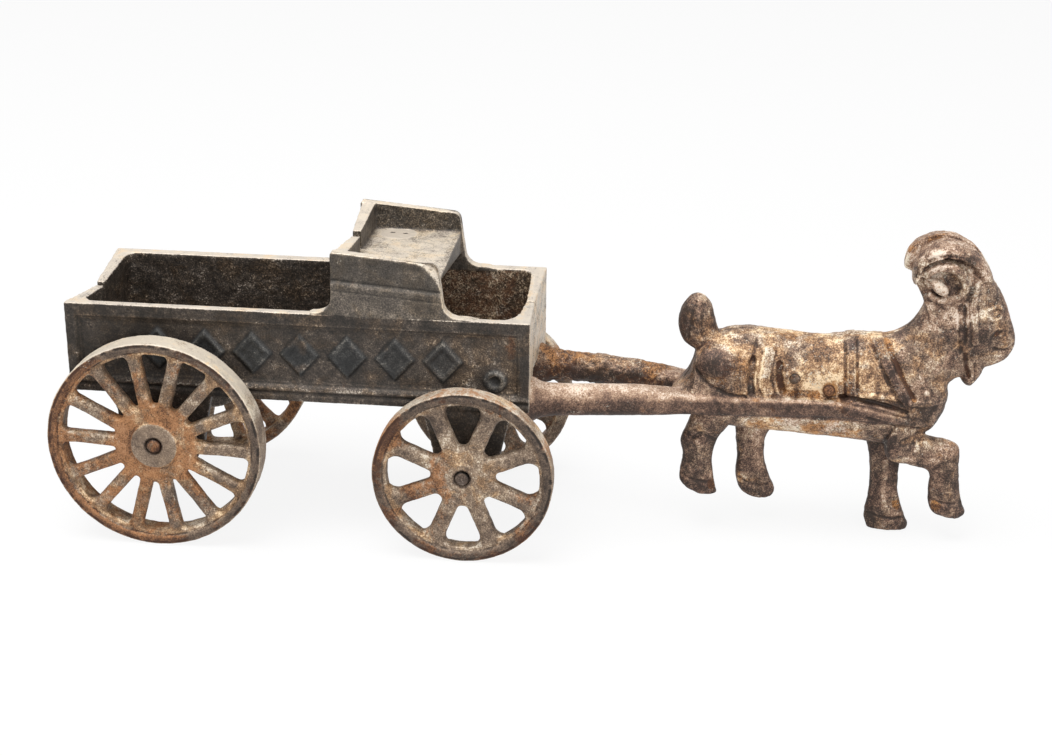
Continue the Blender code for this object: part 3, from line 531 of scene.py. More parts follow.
finishLooks = {
    "wagonIron": {
        "colours": ((0.010, 0.008, 0.006), (0.026, 0.020, 0.015), (0.056, 0.043, 0.033),
                    (0.135, 0.104, 0.079), (0.64, 0.56, 0.46)),
        "spread": 0.8, "topLightAndDustGain": 0.15, "paleGain": 0.5, "warm": (1.09, 0.98, 0.84), "rustBias": -0.28,
        "rustBright": (0.16, 0.075, 0.035), "rustDeep": (0.040, 0.018, 0.010), "fleckBias": -0.10,
        "roughness": 0.5},
    "seatIron": {
        "colours": ((0.012, 0.010, 0.008), (0.036, 0.030, 0.024), (0.085, 0.070, 0.056), (0.22, 0.18, 0.14),
                    (0.66, 0.575, 0.465)),
        "spread": 0.6, "grain": 0.16, "topLightAndDustGain": 0.15, "paleGain": 0.5, "warm": (1.05, 0.99, 0.90),
        "rustBias": -0.35, "fleckBias": -0.06, "roughness": 0.55},
    "goatIron": {
        "colours": ((0.030, 0.018, 0.012), (0.090, 0.055, 0.039), (0.222, 0.142, 0.094), (0.44, 0.315, 0.208),
                    (0.80, 0.72, 0.59)),
        "spread": 1.15, "grain": 0.26, "rustBias": -0.14, "cool": (0.95, 0.87, 0.87), "bias": 0.02,
        "rustBright": (0.44, 0.20, 0.06), "wearAndEdgeHighlightGain": 0.26, "hollowDirtAndShadeGain": 0.32, "topLightAndDustGain": 0.20,
        "fleckBias": -0.03},
    "wheelIron": {
        "colours": ((0.026, 0.018, 0.013), (0.075, 0.051, 0.036), (0.172, 0.119, 0.082), (0.35, 0.255, 0.172),
                    (0.74, 0.65, 0.52)),
        "spread": 0.82, "bias": 0.04, "rustBias": 0.03, "fleckBias": -0.05, "rustBright": (0.40, 0.18, 0.07),
        "hollowDirtAndShadeGain": 0.36, "wearAndEdgeHighlightGain": 0.24},
    "pinSteel": {
        "colours": ((0.010, 0.008, 0.006), (0.030, 0.021, 0.016), (0.072, 0.050, 0.037), (0.15, 0.11, 0.085),
                    (0.32, 0.27, 0.22)),
        "fleckBias": -0.2, "metallic": 0.45, "roughness": 0.5},
}
finishes = {name: ironMaterial(name, {**common, **look}) for name, look in finishLooks.items()}


# Wheels

wheelCast = {
    "fillets": 4, "skin": 0.10, "finish": "wheelIron", "slot": "rusty_iron", "inner": 26.45, "bore": 1.9,
    "counterboreDepth": 0.9, "windowPoints": 72, "backEdge": 0.8, "overlap": 0.012, "intoRim": 1.6,
    "intoHub": 4.0, "rustFrom": 215,
}
rearWheel = {
    **wheelCast, "voxel": 0.36, "radius": 31.86, "face": 37.05, "depth": 8.6, "spokeFace": 36.1,
    "spokeBack": 32.5, "spokes": 14, "spokeWidth": 3.9, "window": (12.4, 27.9), "lowEnd": 0.7,
    "highCorner": 2.1, "roundEdge": 1.75, "turn": 87.5, "hubRing": 6.9, "hubRaise": 0.85, "rustyFace": 0.45,
    "greyRing": 1.0, "paleTread": 1.0, "rustyTread": -0.5, "counterbore": 2.55, "lowLeftRust": 1.0,
    "grey": 0.0,
}
frontWheel = {
    **wheelCast, "voxel": 0.33, "radius": 26.48, "face": 36.45, "depth": 6.5, "spokeFace": 35.6,
    "spokeBack": 31.9, "spokes": 8, "spokeWidth": 5.1, "window": (9.6, 22.3), "lowEnd": 1.4,
    "highCorner": 3.2, "roundEdge": 2.3, "turn": 90.0, "hubRing": 4.6, "hubRaise": 0.35, "rustyFace": 0.0,
    "greyRing": 0.1, "paleTread": 0.62, "rustyTread": 0.15, "counterbore": 2.3, "lowLeftRust": 0.4,
    "grey": 0.5,
}


# The web of a wheel as one ring of iron round each window. Its sections go from the front face over the
# rounded edge of the window to the back face. The outer limit of each ring is the wedge between two spoke
# middles, a little beyond so that the rings overlap, reached by a straight line from the window's middle:
# with b the ray times the middle and c the middle squared less the radius squared, a circle is met at
# minus b plus or minus the root of (b squared less c)
def spokeSectors(wheel, centre):
    low, high = wheel["window"]
    half = math.pi / wheel["spokes"]
    width = [r * math.tan(half) - wheel["spokeWidth"] / 2 / math.cos(half) for r in (low, high)]
    corners = [(low, -width[0], wheel["lowEnd"]), (high, -width[1], wheel["highCorner"]), (high + 0.6, 0, 0),
               (high, width[1], wheel["highCorner"]), (low, width[0], wheel["lowEnd"])]
    outline = evenLoop(roundedOutline(corners), wheel["windowPoints"])
    middle = np.array([(low + high) / 2 + 1.5, 0.0])
    ray = outline - middle
    ray = ray / np.linalg.norm(ray, axis=1)[:, None]
    lap = half + wheel["overlap"]
    reach = np.full(len(ray), 1e9)
    for sign in (-1, 1):
        normal = np.array([-math.sin(lap) * sign, math.cos(lap)]) * sign
        speed = ray @ normal
        toLine = -(middle @ normal) / np.where(np.abs(speed) < 1e-9, 1e-9, speed)
        reach = np.where(toLine > 0, np.minimum(reach, toLine), reach)
    for radius, inner in ((high + wheel["intoRim"], False), (wheel["intoHub"], True)):
        b, c = ray @ middle, middle @ middle - radius ** 2
        root = b ** 2 - c
        far = -b + np.sqrt(np.maximum(root, 0)) * (-1 if inner else 1)
        reach = np.where((root > 0) & (far > 0), np.minimum(reach, far), reach)
    across = reach - np.linalg.norm(outline - middle, axis=1)
    front, back = wheel["spokeFace"], wheel["spokeBack"]
    bend = np.linspace(0, math.pi / 2, 7)
    edgeFront, edgeBack = wheel["roundEdge"], wheel["backEdge"]
    distances = [None, *(edgeFront * (1 - np.sin(bend))), *(edgeBack * (1 - np.cos(bend))), None]
    heights = [front, *(front - edgeFront * (1 - np.cos(bend))), *(back + edgeBack * (1 - np.sin(bend))),
               back]
    rows = [across if d is None else np.minimum(d, 0.98 * across) for d in distances]
    flat = outline[:, None, :] + ray[:, None, :] * np.stack(rows, 1)[:, :, None]
    shells = []
    for index in range(wheel["spokes"]):
        angle = math.radians(wheel["turn"]) + index * math.tau / wheel["spokes"]
        x = centre[0] + flat[..., 0] * math.cos(angle) - flat[..., 1] * math.sin(angle)
        z = centre[2] + flat[..., 0] * math.sin(angle) + flat[..., 1] * math.cos(angle)
        y = np.broadcast_to(-np.array(heights), x.shape)
        shells.append(tubeShell(np.stack([x, y, z], -1), closed=True))
    return shells


# Rim, hub and spokes; the profiles of rim and hub are (radius, outward)
def wheelShells(wheel, centre):
    radius, high = wheel["radius"], wheel["window"][1]
    face, back = wheel["face"], wheel["face"] - wheel["depth"]
    spokeFace, spokeBack = wheel["spokeFace"], wheel["spokeBack"]
    rim = [(high + 0.1, spokeFace - 0.6), (high + 1.2, spokeFace), (high + 1.5, face - 0.2),
           (high + 1.7, face), (radius - 0.6, face), (radius - 0.15, face - 0.2), (radius, face - 0.6),
           (radius, back + 0.7), (radius - 0.7, back), (high + 0.9, back), (high + 0.3, back + 0.5),
           (high + 0.1, spokeBack)]
    hubFace = spokeFace + wheel["hubRaise"]
    ring, bore, wide, inner = wheel["hubRing"], wheel["bore"], wheel["counterbore"], wheel["inner"]
    sunk = hubFace - wheel["counterboreDepth"]
    hub = [(bore, sunk), (wide, sunk), (wide, hubFace - 0.15), (wide + 0.25, hubFace), (ring - 0.3, hubFace),
           (ring, hubFace - 0.25), (ring + 0.25, spokeFace), (ring + 0.6, spokeBack + 1), (6.4, spokeBack),
           (5.4, spokeBack - 1.1), (5.2, inner), (bore, inner)]
    return [turnedShell(rim, centre, 180), turnedShell(hub, centre)] + spokeSectors(wheel, centre)


# Pale chalky tread with a black line beside it, a dark rim face, rust on the disc, a plain grey hub ring.
# The tread is paler towards its top as painted top light, and the step at the rim's inner edge and the
# bore round the axle are darkened as painted shade. Each is a fade or ridge of the distance from the axle,
# and rust also of the direction from it
def wheelRelief(points, normals, side, wheel, centre):
    dx, dz = -side * (points[:, 0] - centre[0]), points[:, 2] - centre[2]
    radius = np.hypot(dx, dz)
    cloud, ragged = noiseAt(points, 9.0, 4.7), noiseAt(points, 1.6, 2.9)
    sideways = np.abs(normals[:, 1])
    facing = fade(normals[:, 1] * side, 0.3, 0.8)
    edge, inner = wheel["radius"], wheel["window"][1] + 1.3
    groove = ridge(radius - edge + 0.75, 0.35) * facing * fade(ragged + 0.5 * cloud, -0.5, 0.1)
    tread = fade(radius, edge - 0.5, edge - 0.1)
    rimFace = fade(radius, inner - 0.2, inner + 0.2) * facing * (1 - tread)
    felloe = within(radius, inner - 3.0, inner - 1.2, inner - 0.4, inner - 0.1)
    step = ridge(radius - inner + 0.15, 0.25) * facing * fade(ragged, -0.3, 0.4)
    fromLowLeft = np.arctan2(dz, dx) - math.radians(wheel["rustFrom"])
    lowLeft = wheel["lowLeftRust"] * fade(np.cos(fromLowLeft) + 0.4 * cloud, -0.3, 0.6)
    window = within(sideways, 0.15, 0.45, 0.75, 0.97) * within(radius, 8.0, 10.0, edge - 2.2, edge - 1.6)
    ring = fade(radius, wheel["hubRing"] + 0.1, wheel["hubRing"] - 0.3) * facing * wheel["greyRing"]
    disc = fade(radius, 16.0, 12.0) * (1 - ring)
    # Painted top light: the chalky tread is paler where it faces up
    litTread = tread * fade(cloud, -1.2, -0.2) * (0.4 + 0.6 * fade(dz / radius, 0.15, 0.6))
    marks = {
        "pale": (wheel["paleTread"] * litTread + 0.3 * felloe * fade(ragged, -0.6, 0.4)
                 + 0.25 * window * fade(ragged, -0.4, 0.6) + 0.3 * disc + 0.1 * ring),
        # Painted shade: the step at the rim's inner edge and the counterbore round the axle are darkened
        "dark": (groove + 0.35 * step + 0.42 * rimFace * (1 - 0.45 * lowLeft) + 0.8 * fade(radius, 3.1, 2.6)
                 + 0.2 * wheel["grey"] * (1 - tread)),
        "rust": (0.9 * rimFace * lowLeft + wheel["rustyFace"] * disc + wheel["rustyTread"] * tread
                 - ring + 0.3 * cloud + 0.4 * lowLeft * (1 - tread)),
        "tint": (0.4 * disc + 0.5 * felloe - 0.6 * ring - 0.6 * rimFace * (1 - lowLeft) - 0.3 * tread
                 - wheel["grey"] * (1 - tread)),
        "plain": 0.6 * ring + 0.5 * rimFace + 0.4 * tread,
    }
    return (0.4 * groove + 0.25 * step)[:, None] * [0, -side, 0], marks


def makeWheels():
    for end, wheel, axle in (("rear", rearWheel, rearAxle), ("front", frontWheel, frontAxle)):
        centre = np.array([axle[0], 0, axle[2]])
        shells = wheelShells(wheel, centre)
        for side, name in sides:
            if side == 1:   # turned half round about the vertical through the axle
                shells = [((points - centre) * [-1, -1, 1] + centre, faces) for points, faces in shells]
            node = f"{end}_wheel_{name.lower()}"
            castPiece(end + "Wheel" + name, shells, wheel, [node], node, wheelRelief, side, wheel, centre)


# Axles and rivets

# Where its axis is in x and z, the radii of wire and head, where the head begins and ends, rust, node, body
pinSizes = {
    "rearAxle": (rearAxle[0], rearAxle[2], 1.6, 2.1, 36.4, 37.45, 0.5, "rear_axle", "rear_axle"),
    "frontAxle": (frontAxle[0], frontAxle[2], 1.6, 2.1, 35.8, 36.75, 0.2, "front_axle", "front_axle"),
    "goatRivetRear": (76.4 + shiftX, 52.4, 1.5, 1.7, 9.3, 10.45, 0.4, "goat_rivet_rear", "cart"),
    "goatRivetFront": (86.5 + shiftX, 49.3, 1.5, 1.8, 9.4, 10.5, 0.7, "goat_rivet_front", "cart"),
}
pinCast = {"finish": "pinSteel", "slot": "steel"}


# A wire from head to head, turned round its axis. The head is a dome: its radius goes with the sine of the
# bend to the power 0.7, and its height over the shoulder with the cosine to the power 0.8
def makePins():
    for name, (axisX, axisZ, wire, head, shoulder, end, rust, node, body) in pinSizes.items():
        bend = np.linspace(0, math.pi / 2, 11)
        dome = np.stack([head * np.sin(bend) ** 0.7, shoulder + (end - shoulder) * np.cos(bend) ** 0.8], -1)
        middle = [[wire, w] for w in np.linspace(shoulder - 1, 0, 30)]
        profile = np.vstack([dome, [[head, shoulder - 0.1], [wire, shoulder - 0.2]], middle])
        profile = np.vstack([profile, (profile * [1, -1])[::-1]])
        angles = np.linspace(0, math.tau, 48, endpoint=False)
        radius, along = profile[:, :1], profile[:, 1:]
        x, z = axisX + radius * np.cos(angles), axisZ + radius * np.sin(angles)
        points, faces = tubeShell(np.stack([x, along + 0 * angles, z], -1))
        points = points + 0.07 * np.stack([noiseAt(points, 1.1, shift) for shift in (1.3, 5.7, 8.9)], -1)
        piece = newPiece(name, points, faces)
        away = np.hypot(points[:, 0] - axisX, points[:, 2] - axisZ)
        writeMarks(piece.data, {"dark": fade(away, 0.8 * head, head), "rust": rust,
                                "wear": 0.5 * fade(np.abs(points[:, 1]), shoulder + 0.3, end)})
        dressPiece(piece, pinCast, [node], body)


# Wagon

wagon = {
    "voxel": 0.46, "fillets": 7, "skin": 0.09, "finish": "wagonIron", "slot": "brown_iron",
    "length": 136.6, "halfWidth": 26.25, "bottom": 44.0, "rail": 71.6, "endDip": 2.5,
    "rearDip": {-1: 3.5, 1: 2.5}, "endLean": 1.3, "sideWall": 3.5, "endAtSide": 4.5, "endAtSeam": 2.6,
    "floorUnder": 47.5, "floorTop": 50.0, "seam": 0.3, "partition": (-57.3, -53.0),
    "corner": {-1: (5.0, 6.5), 1: (3.0, 2.0)}, "hanger": (-25.9, -23.1), "recess": (-133.4, -3.2, 48.9, 67.8),
    "recessDepth": 0.9, "bead": 47.9, "beadHeight": 0.65,
    "lozenges": {"count": 7, "pitch": 14.0, "first": -109.2, "width": 11.6, "height": 13.0, "z": 58.4},
    "boss": {"x": -10.0, "z": 53.2, "radius": 3.4, "raised": 0.85},
}
lugs = [(rearAxle, 15.4, 12.6), (frontAxle, 13.6, 9.2)]


# A block across the half wagon; rear, front and zHigh are pairs (at the side, at the seam), and at y each
# has gone 1 less |y| over the half width of the way from the first to the second
def crossWall(ySide, ySeam, rear, front, zLow, zHigh):
    rings = []
    for y in (ySide, ySeam):
        share = 1 - abs(y) / wagon["halfWidth"]
        xRear, xFront, top = (pair[0] + (pair[1] - pair[0]) * share for pair in (rear, front, zHigh))
        rings.append([(xRear, y, zLow), (xFront, y, zLow), (xFront, y, top), (xRear, y, top)])
    return tubeShell(np.array(rings, float))


# The rounded filling of an inner corner: a quarter circle, radius times 1 less the sine and 1 less the
# cosine of the turn away from the two walls, closed by an edge inside them
def cornerFillet(x, y, signX, signY, radius, low, high):
    turn = np.linspace(0, math.pi / 2, 8)
    curve = np.stack([x + signX * radius * (1 - np.sin(turn)), y + signY * radius * (1 - np.cos(turn))], -1)
    outline = np.vstack([curve, [[x - signX * 0.6, y + signY * radius], [x - signX * 0.6, y - signY * 0.6],
                                 [x + signX * radius, y - signY * 0.6]]])
    return plateShell(outline, low, high, (0, 1, 2))


# Side wall, half end walls, half floor, half partition, rounded inner corners and the axle lugs
def wagonShells(side):
    w = wagon
    rear, wide, seam, rail = -w["length"], w["halfWidth"], -w["seam"], w["rail"]
    lean, tops, rearTops = w["endLean"], (rail, rail - w["endDip"]), (rail, rail - w["rearDip"][side])
    innerRear = (rear + w["endAtSide"], rear + lean + w["endAtSeam"])
    innerFront = (-w["endAtSide"], -lean - w["endAtSeam"])
    behind, ahead = w["partition"]
    outerRear, outerFront = (rear, rear + lean), (0.0, -lean)
    under, top = w["floorUnder"], w["floorTop"]
    shells = [crossWall(-wide, -wide + w["sideWall"], outerRear, outerFront, w["bottom"], tops)]
    for rears, fronts, heights in (
            (outerRear, innerRear, rearTops), (innerFront, outerFront, tops),
            (outerRear, outerFront, (top, top)),
            ((behind, behind + 1.3), (ahead, ahead - 0.4), (rail + 1.5, rail + 1.5))):
        shells.append(crossWall(-wide + 0.2, seam, rears, fronts, under, heights))
    rearRadius, frontRadius = w["corner"][side]
    for x, sign, radius in ((innerRear[0], 1, rearRadius), (behind, -1, 1.8), (ahead, 1, 1.8),
                            (innerFront[0], -1, frontRadius)):
        shells.append(cornerFillet(x, -wide + w["sideWall"], sign, 1, radius, top - 0.5, rail - 0.4))
    for axle, wideAbove, roundBelow in lugs:
        turn = np.linspace(0, math.pi, 25)
        middle, high = axle[0] - shiftX, w["bottom"] + 2
        arc = np.stack([middle + roundBelow * np.cos(turn), axle[2] - roundBelow * np.sin(turn)], -1)
        shells.append(plateShell(np.vstack([[[middle - wideAbove, high], [middle + wideAbove, high]], arc]),
                                 *w["hanger"]))
    return shells


# The least of the distances to the four sides of a rectangle; negative outside it
def boxDistance(x, z, x0, x1, z0, z1):
    return np.minimum(np.minimum(x - x0, x1 - x), np.minimum(z - z0, z1 - z))


# Outer panel: sunk field in a stepped frame, a bead along the foot, dark lozenges and a ringed boss.
# Height is the sum of fades of the distances to each of these, and goes outwards on y
def wagonRelief(points, normals, side):
    w = wagon
    x, z, out = points[:, 0] - shiftX, points[:, 2], points[:, 1] * side
    upward = normals[:, 2]
    outer = fade(out, w["halfWidth"] - 1.0, w["halfWidth"] - 0.5) * fade(np.abs(normals[:, 1]), 0.3, 0.8)
    inside = boxDistance(x, z, *w["recess"])
    height = -w["recessDepth"] * (0.62 * fade(inside, -0.2, 0.6) + 0.38 * fade(inside, 0.9, 1.6))
    height -= 0.12 * ridge(inside + 0.9, 0.35) * (z > 60)
    height += w["beadHeight"] * ridge(z - w["bead"], 0.6)
    height -= 0.45 * ridge(z - w["bead"] + 1.25, 0.4)
    height += 0.15 * fade(z, 46.2, 45.6)
    lozenge, boss = w["lozenges"], w["boss"]
    index = np.clip(np.round((x - lozenge["first"]) / lozenge["pitch"]), 0, lozenge["count"] - 1)
    dx, dz = np.abs(x - lozenge["first"] - index * lozenge["pitch"]), np.abs(z - lozenge["z"])
    wide, high = lozenge["width"], lozenge["height"]
    inLozenge = (1 - dx / (wide / 2) - dz / (high / 2)) * wide * high / 2 / math.hypot(wide, high)
    height += boss["raised"] * fade(inLozenge, -0.25, 0.45) - 0.3 * fade(inLozenge, 1.4, 2.0)
    fromBoss = np.hypot(x - boss["x"], z - boss["z"])
    height += boss["raised"] * fade(fromBoss, boss["radius"] + 0.2, boss["radius"] - 0.6)
    height -= 0.9 * fade(fromBoss, 2.0, 1.0)
    height += 0.12 * noiseAt(points, 12.0, 2.0)
    for axle, _, _ in lugs:   # the dimple round each axle hole
        height -= 0.3 * fade(np.hypot(points[:, 0] - axle[0], z - axle[2]), 3.4, 2.4) * (z < w["bottom"])
    cloud, crumbs = noiseAt(points, 11.0, 6.1), noiseAt(points, 2.4, 1.2)
    painted = outer * np.maximum(fade(inLozenge, -0.5, -0.1), fade(fromBoss, boss["radius"] + 0.4, 3.2))
    inner = (1 - outer) * within(z, 49.2, 49.8, w["rail"] - 1.2, w["rail"] - 0.3) * fade(out, 23.6, 23.1)
    inner *= within(x, -w["length"] + 1.6, -w["length"] + 2.6, -3.2, -2.2)
    footwell = inner * fade(x, -54, -52)
    # Painted light: the rails' upward faces are made pale as top light as well as wear, and a thin pale line
    # along the top of the bead is a painted highlight
    railTop = fade(z, w["rail"] - 5.0, w["rail"] - 4.0) * fade(upward, 0.4, 0.8)
    frontWall = fade(normals[:, 0], 0.6, 0.9) * fade(x, -3, -1.8)
    frame = outer * fade(inside, 0.1, -0.3) * fade(z, 49, 50)
    wornFront = outer * fade(x, -52, -10) * fade(inside, 0.2, 1.0)
    marks = {
        "paint": painted * fade(crumbs + 0.6 * cloud, -1.1, -0.5) * (0.94 - 0.1 * fade(x, -60, -20)),
        "pale": (railTop * (0.95 + 0.2 * cloud) + frontWall * (2.2 + 1.8 * crumbs) + 0.3 * wornFront
                 + 0.14 * outer * ridge(z - w["bead"], 0.7) * (1 + cloud) + 0.3 * footwell),
        "dark": 0.2 * (inner - footwell) + 0.15 * frame + 0.12 * outer + 0.2 * outer * fade(x, -90, -125),
        "rust": (0.6 * footwell + 0.25 * wornFront * (0.4 + cloud) - 0.8 * railTop
                 + 0.7 * outer * ridge(x + 5.5, 1.6) * fade(z, 52, 62)),
        "tint": 0.6 * footwell + 0.3 * wornFront - 0.15 * railTop + 0.2 * frontWall,
        "plain": 0.3 * railTop + 0.3 * inner,
        "grit": inner,
        "rough": 1.0 + 2.2 * inner - 0.4 * railTop,
    }
    return (height * outer)[:, None] * [0, side, 0], marks


def makeWagon():
    for side, name in sides:
        castPiece("wagonHalf" + name, placed(wagonShells(side), side), wagon, ["wagon_half_" + name.lower()],
                  "cart", wagonRelief, side)


# Seat

seat = {
    "voxel": 0.32, "fillets": 8, "skin": 0.09, "finish": "seatIron", "slot": "brown_iron",
    "top": 82.8, "backSide": 90.0, "backSeam": 87.3, "halfGap": 0.9, "frontX": -26.3, "deepEdge": 7.0,
    "thinEdge": 1.1, "cheekOuter": 26.2, "cheekInner": 22.3, "upperInset": 0.45, "rise": {-1: 0.0, 1: 1.1},
    "moulding": [(-62.0, 81.0), (-56.3, 80.6), (-42.0, 79.5), (-27.6, 78.4), (-20.0, 77.8)],
    "secondLine": 1.75,
    # where the flat of the cheek ends and its rounded edge begins
    "flatEnd": [(-60.0, 89.5), (-57.6, 89.3), (-42.6, 88.5), (-36.0, 87.6), (-31.8, 86.6), (-28.6, 83.6),
                (-26.2, 79.5), (-25.2, 76.0), (-24.9, 74.5)],
    "disc": (-45.0, 18.0, 5.8), "dots": ((-47.0, 19.0), (-43.0, 18.6)),
}


# Cheek on the rail with feet that run out along it, half the seat back, and on the left side the shelf
def seatShells(side):
    s, rise, foot, lip = seat, seat["rise"][side], wagon["rail"] - 1.2, wagon["rail"] + 0.3
    rearX, topFront, frontX = -57.6, -26.8, -24.6
    cheek = roundedOutline([(-64.5, foot, 0), (-15.0, foot, 0), (-15.0, lip - 0.6, 0), (-18.5, lip, 3.0),
                            (frontX, lip, 4.5), (topFront, 87.6 + rise, 2.4), (rearX, 90.2 + rise, 0.8),
                            (rearX, lip, 4.5), (-63.2, lip, 1.0), (-64.5, lip - 0.6, 0)])
    behind, ahead = wagon["partition"]
    tops = (s["backSide"] + rise, s["backSeam"] + rise)
    shells = [plateShell(cheek, -s["cheekOuter"], -s["cheekInner"]),
              crossWall(-s["cheekInner"] - 1, -s["halfGap"], (behind, behind + 1.3), (ahead, ahead - 0.4),
                        foot, tops)]
    if side == 1:
        rear, front, top = ahead - 1, s["frontX"], s["top"]
        edges = ((s["cheekInner"] - 0.3, s["thinEdge"]), (-s["cheekInner"] - 1, s["deepEdge"]))
        rings = [[(rear, y, top - deep), (front, y, top - deep), (front, y, top), (rear, y, top)]
                 for y, deep in edges]
        shells.append(tubeShell(np.array(rings, float)))
    return shells


# The cheek: rounded off beyond flatEnd, set back above a double moulding line that falls towards the
# front. The shelf: worn pale, with a thin white disc that has two dark dots
def seatRelief(points, normals, side):
    x, y, z = points[:, 0] - shiftX, points[:, 1], points[:, 2] - seat["rise"][side]
    upward, sideways = normals[:, 2], np.abs(normals[:, 1])
    outer = fade(y * side, seat["cheekOuter"] - 1.2, seat["cheekOuter"] - 0.5)
    line, edge = np.array(seat["moulding"]), np.array(seat["flatEnd"])
    above = z - np.interp(x, line[:, 0], line[:, 1])
    height = -seat["upperInset"] * fade(above, 0.0, 1.2)
    height += 0.12 * ridge(above, 0.5) - 0.28 * ridge(above - 1.3, 0.4)
    height -= 0.25 * ridge(above + seat["secondLine"], 0.4)
    beyond = lineDistance(x, z, seat["flatEnd"]) * (z > np.interp(x, edge[:, 0], edge[:, 1])) * (z > 75.0)
    height -= 0.18 * beyond + 0.16 * beyond ** 2
    cloud, crumbs = noiseAt(points, 6.0, 3.1), noiseAt(points, 2.2, 7.1)
    z = points[:, 2]
    shelf = fade(upward, 0.6, 0.95) * within(z, 82.0, 82.5, 84.0, 84.5)
    border = np.minimum(np.minimum(x + 53.0, -26.3 - x), 22.3 - np.abs(y))
    discX, discY, discRadius = seat["disc"]
    disc = fade(np.hypot(x - discX, y - discY), discRadius, discRadius - 0.7) * shelf
    dots = shelf * sum(fade(np.hypot(x - dotX, y - dotY), 1.1, 0.5) for dotX, dotY in seat["dots"])
    offset = np.stack([0 * x, side * np.maximum(height, -2.4) * outer,
                       0.22 * disc * (0.7 + 0.3 * crumbs) - 0.3 * dots], -1)
    disc = disc * (1 - dots)
    innerCheek = fade(sideways, 0.6, 0.9) * (1 - outer) * fade(z, 82.9, 83.6)
    band = outer * fade(beyond, 0.2, 0.9)
    ribbon = fade(sideways, 0.85, 0.55) * fade(upward + 0.8 * normals[:, 0], 0.1, 0.5)
    ribbon *= fade(np.abs(y), 21.8, 22.6)
    topEdge = np.maximum(ribbon, fade(upward, 0.4, 0.8) * fade(z, 84.5, 85.5))
    # Painted light: the tops of cheek and seat back and the cheek's rounded upper edge are made pale as top
    # light as well as wear; the shelf is less pale near its borders, partly its brownish colour and partly
    # painted shade by the walls, and is darkened along the near cheek as a painted shadow
    marks = {
        "pale": (shelf * (0.64 - 0.3 * fade(border, 2.6, 0.4) + 0.12 * cloud) + 1.4 * disc
                 + np.maximum(band, topEdge) * (0.85 + 0.15 * cloud)),
        "dark": (0.30 * innerCheek + 0.24 * outer * fade(above, -0.2, 0.6) * (1 - band)
                 + 0.9 * shelf * fade(y, -20.6, -22.0) + 0.9 * dots),
        "rust": 0.25 * cloud * (1 - shelf) - 0.8 * shelf - 0.8 * topEdge,
        "tint": -0.1 * shelf - 0.9 * disc - 0.15 * band + 0.4 * innerCheek,
        "plain": 0.8 * disc + 0.2 * shelf + 0.3 * innerCheek,
        "grit": innerCheek + 0.25 * shelf,
        "rough": 1.0 + 2.4 * innerCheek,
    }
    return offset, marks


def makeSeat():
    for side, name in sides:
        castPiece("seatHalf" + name, placed(seatShells(side), side), seat, ["seat_half_" + name.lower()],
                  "cart", seatRelief, side)


# Shafts and goat, one casting on each side

# Stations (low x, low z, high x, high z, how far it stands out) of half round bodies on the seam plane
goatForms = {
    "barrel": [(46.8, 46.5, 48, 53.6, 6.2), (48, 39, 50.5, 59.6, 8.6), (53, 35, 55, 63.2, 10),
               (62, 33, 62, 64.4, 10.3), (73, 32.6, 73, 63.6, 10), (85, 31.8, 84.5, 62.9, 9.8),
               (95.5, 31.2, 93, 64.3, 10), (106, 30.5, 101.5, 64.3, 9.8), (116.5, 34.6, 106, 65.6, 9.2),
               (120.4, 40, 109.2, 68, 8.6), (121.9, 45.5, 111.5, 71.6, 7.8), (121.8, 50, 112.6, 74.8, 7.2),
               (124.6, 52.4, 111, 78.2, 6.7), (131.6, 55.6, 109.6, 80.6, 6.3), (137, 58.4, 109, 83, 6),
               (139.6, 63.8, 109.2, 85.6, 5.9), (137.4, 72, 110.6, 88.2, 5.8), (133.6, 80, 112.6, 90, 5.5),
               (129, 85.4, 116, 91.2, 4.8), (126.4, 89.4, 120.4, 92.2, 3)],
    "haunch": [(47.2, 53, 47.2, 56.8, 8.2), (49.4, 50.2, 49.6, 60.4, 10.2), (53.4, 47.6, 54, 62.2, 11.3),
               (58.4, 46, 58.8, 62.4, 11.5), (62, 46.2, 62.4, 60.8, 10.9), (63.8, 49, 63.8, 57, 9.6)],
    "earBase": [(121.6, 78.6, 124.2, 84.6, 5), (117.6, 77.2, 118.4, 87.2, 5.4),
                (113.6, 78.6, 113, 86.4, 5.4), (111.4, 81, 111.2, 84.4, 4.8)],
    "beard": [(125, 56, 132, 58, 3.9), (124.8, 52.8, 131.2, 54.4, 3.8), (125.8, 50.8, 129.8, 51.9, 3.2),
              (127.2, 49.7, 128.6, 49.9, 1.4)],
    "tail": [(49.4, 55.6, 55.4, 60.6, 4.2), (43.6, 59.4, 53.4, 63.6, 4.6), (41.6, 64.6, 52.4, 66.8, 4.9),
             (42.2, 69.4, 51.4, 70.4, 4.4), (44.4, 72.9, 49.6, 73.1, 2.6), (46.2, 74, 48, 74.1, 0.8)],
}
# The horns are half round bodies too; each side has its own, on the same root
hornRoot = [(127.4, 82, 131.8, 82.4, 5), (125.4, 85.8, 129.6, 87, 6.4)]
horns = {
    -1: hornRoot + [(121.4, 88.4, 125.2, 92, 8), (116.6, 89.2, 118.2, 94.8, 8.5), (113.2, 88.2, 112, 93, 8.3),
                    (111.8, 86.2, 108.6, 88.8, 7.8), (110.6, 83.4, 108, 84.6, 7.2),
                    (109.4, 81.4, 108.4, 81.6, 5.6)],
    1: hornRoot + [(121.4, 88.4, 125.4, 92.2, 8), (116.4, 89, 118.4, 95.4, 8.3), (112.4, 88, 110.8, 94, 7.9),
                   (109.8, 86.4, 106.6, 89.6, 7.2), (108.6, 83.6, 105.9, 84.8, 5.9)],
}
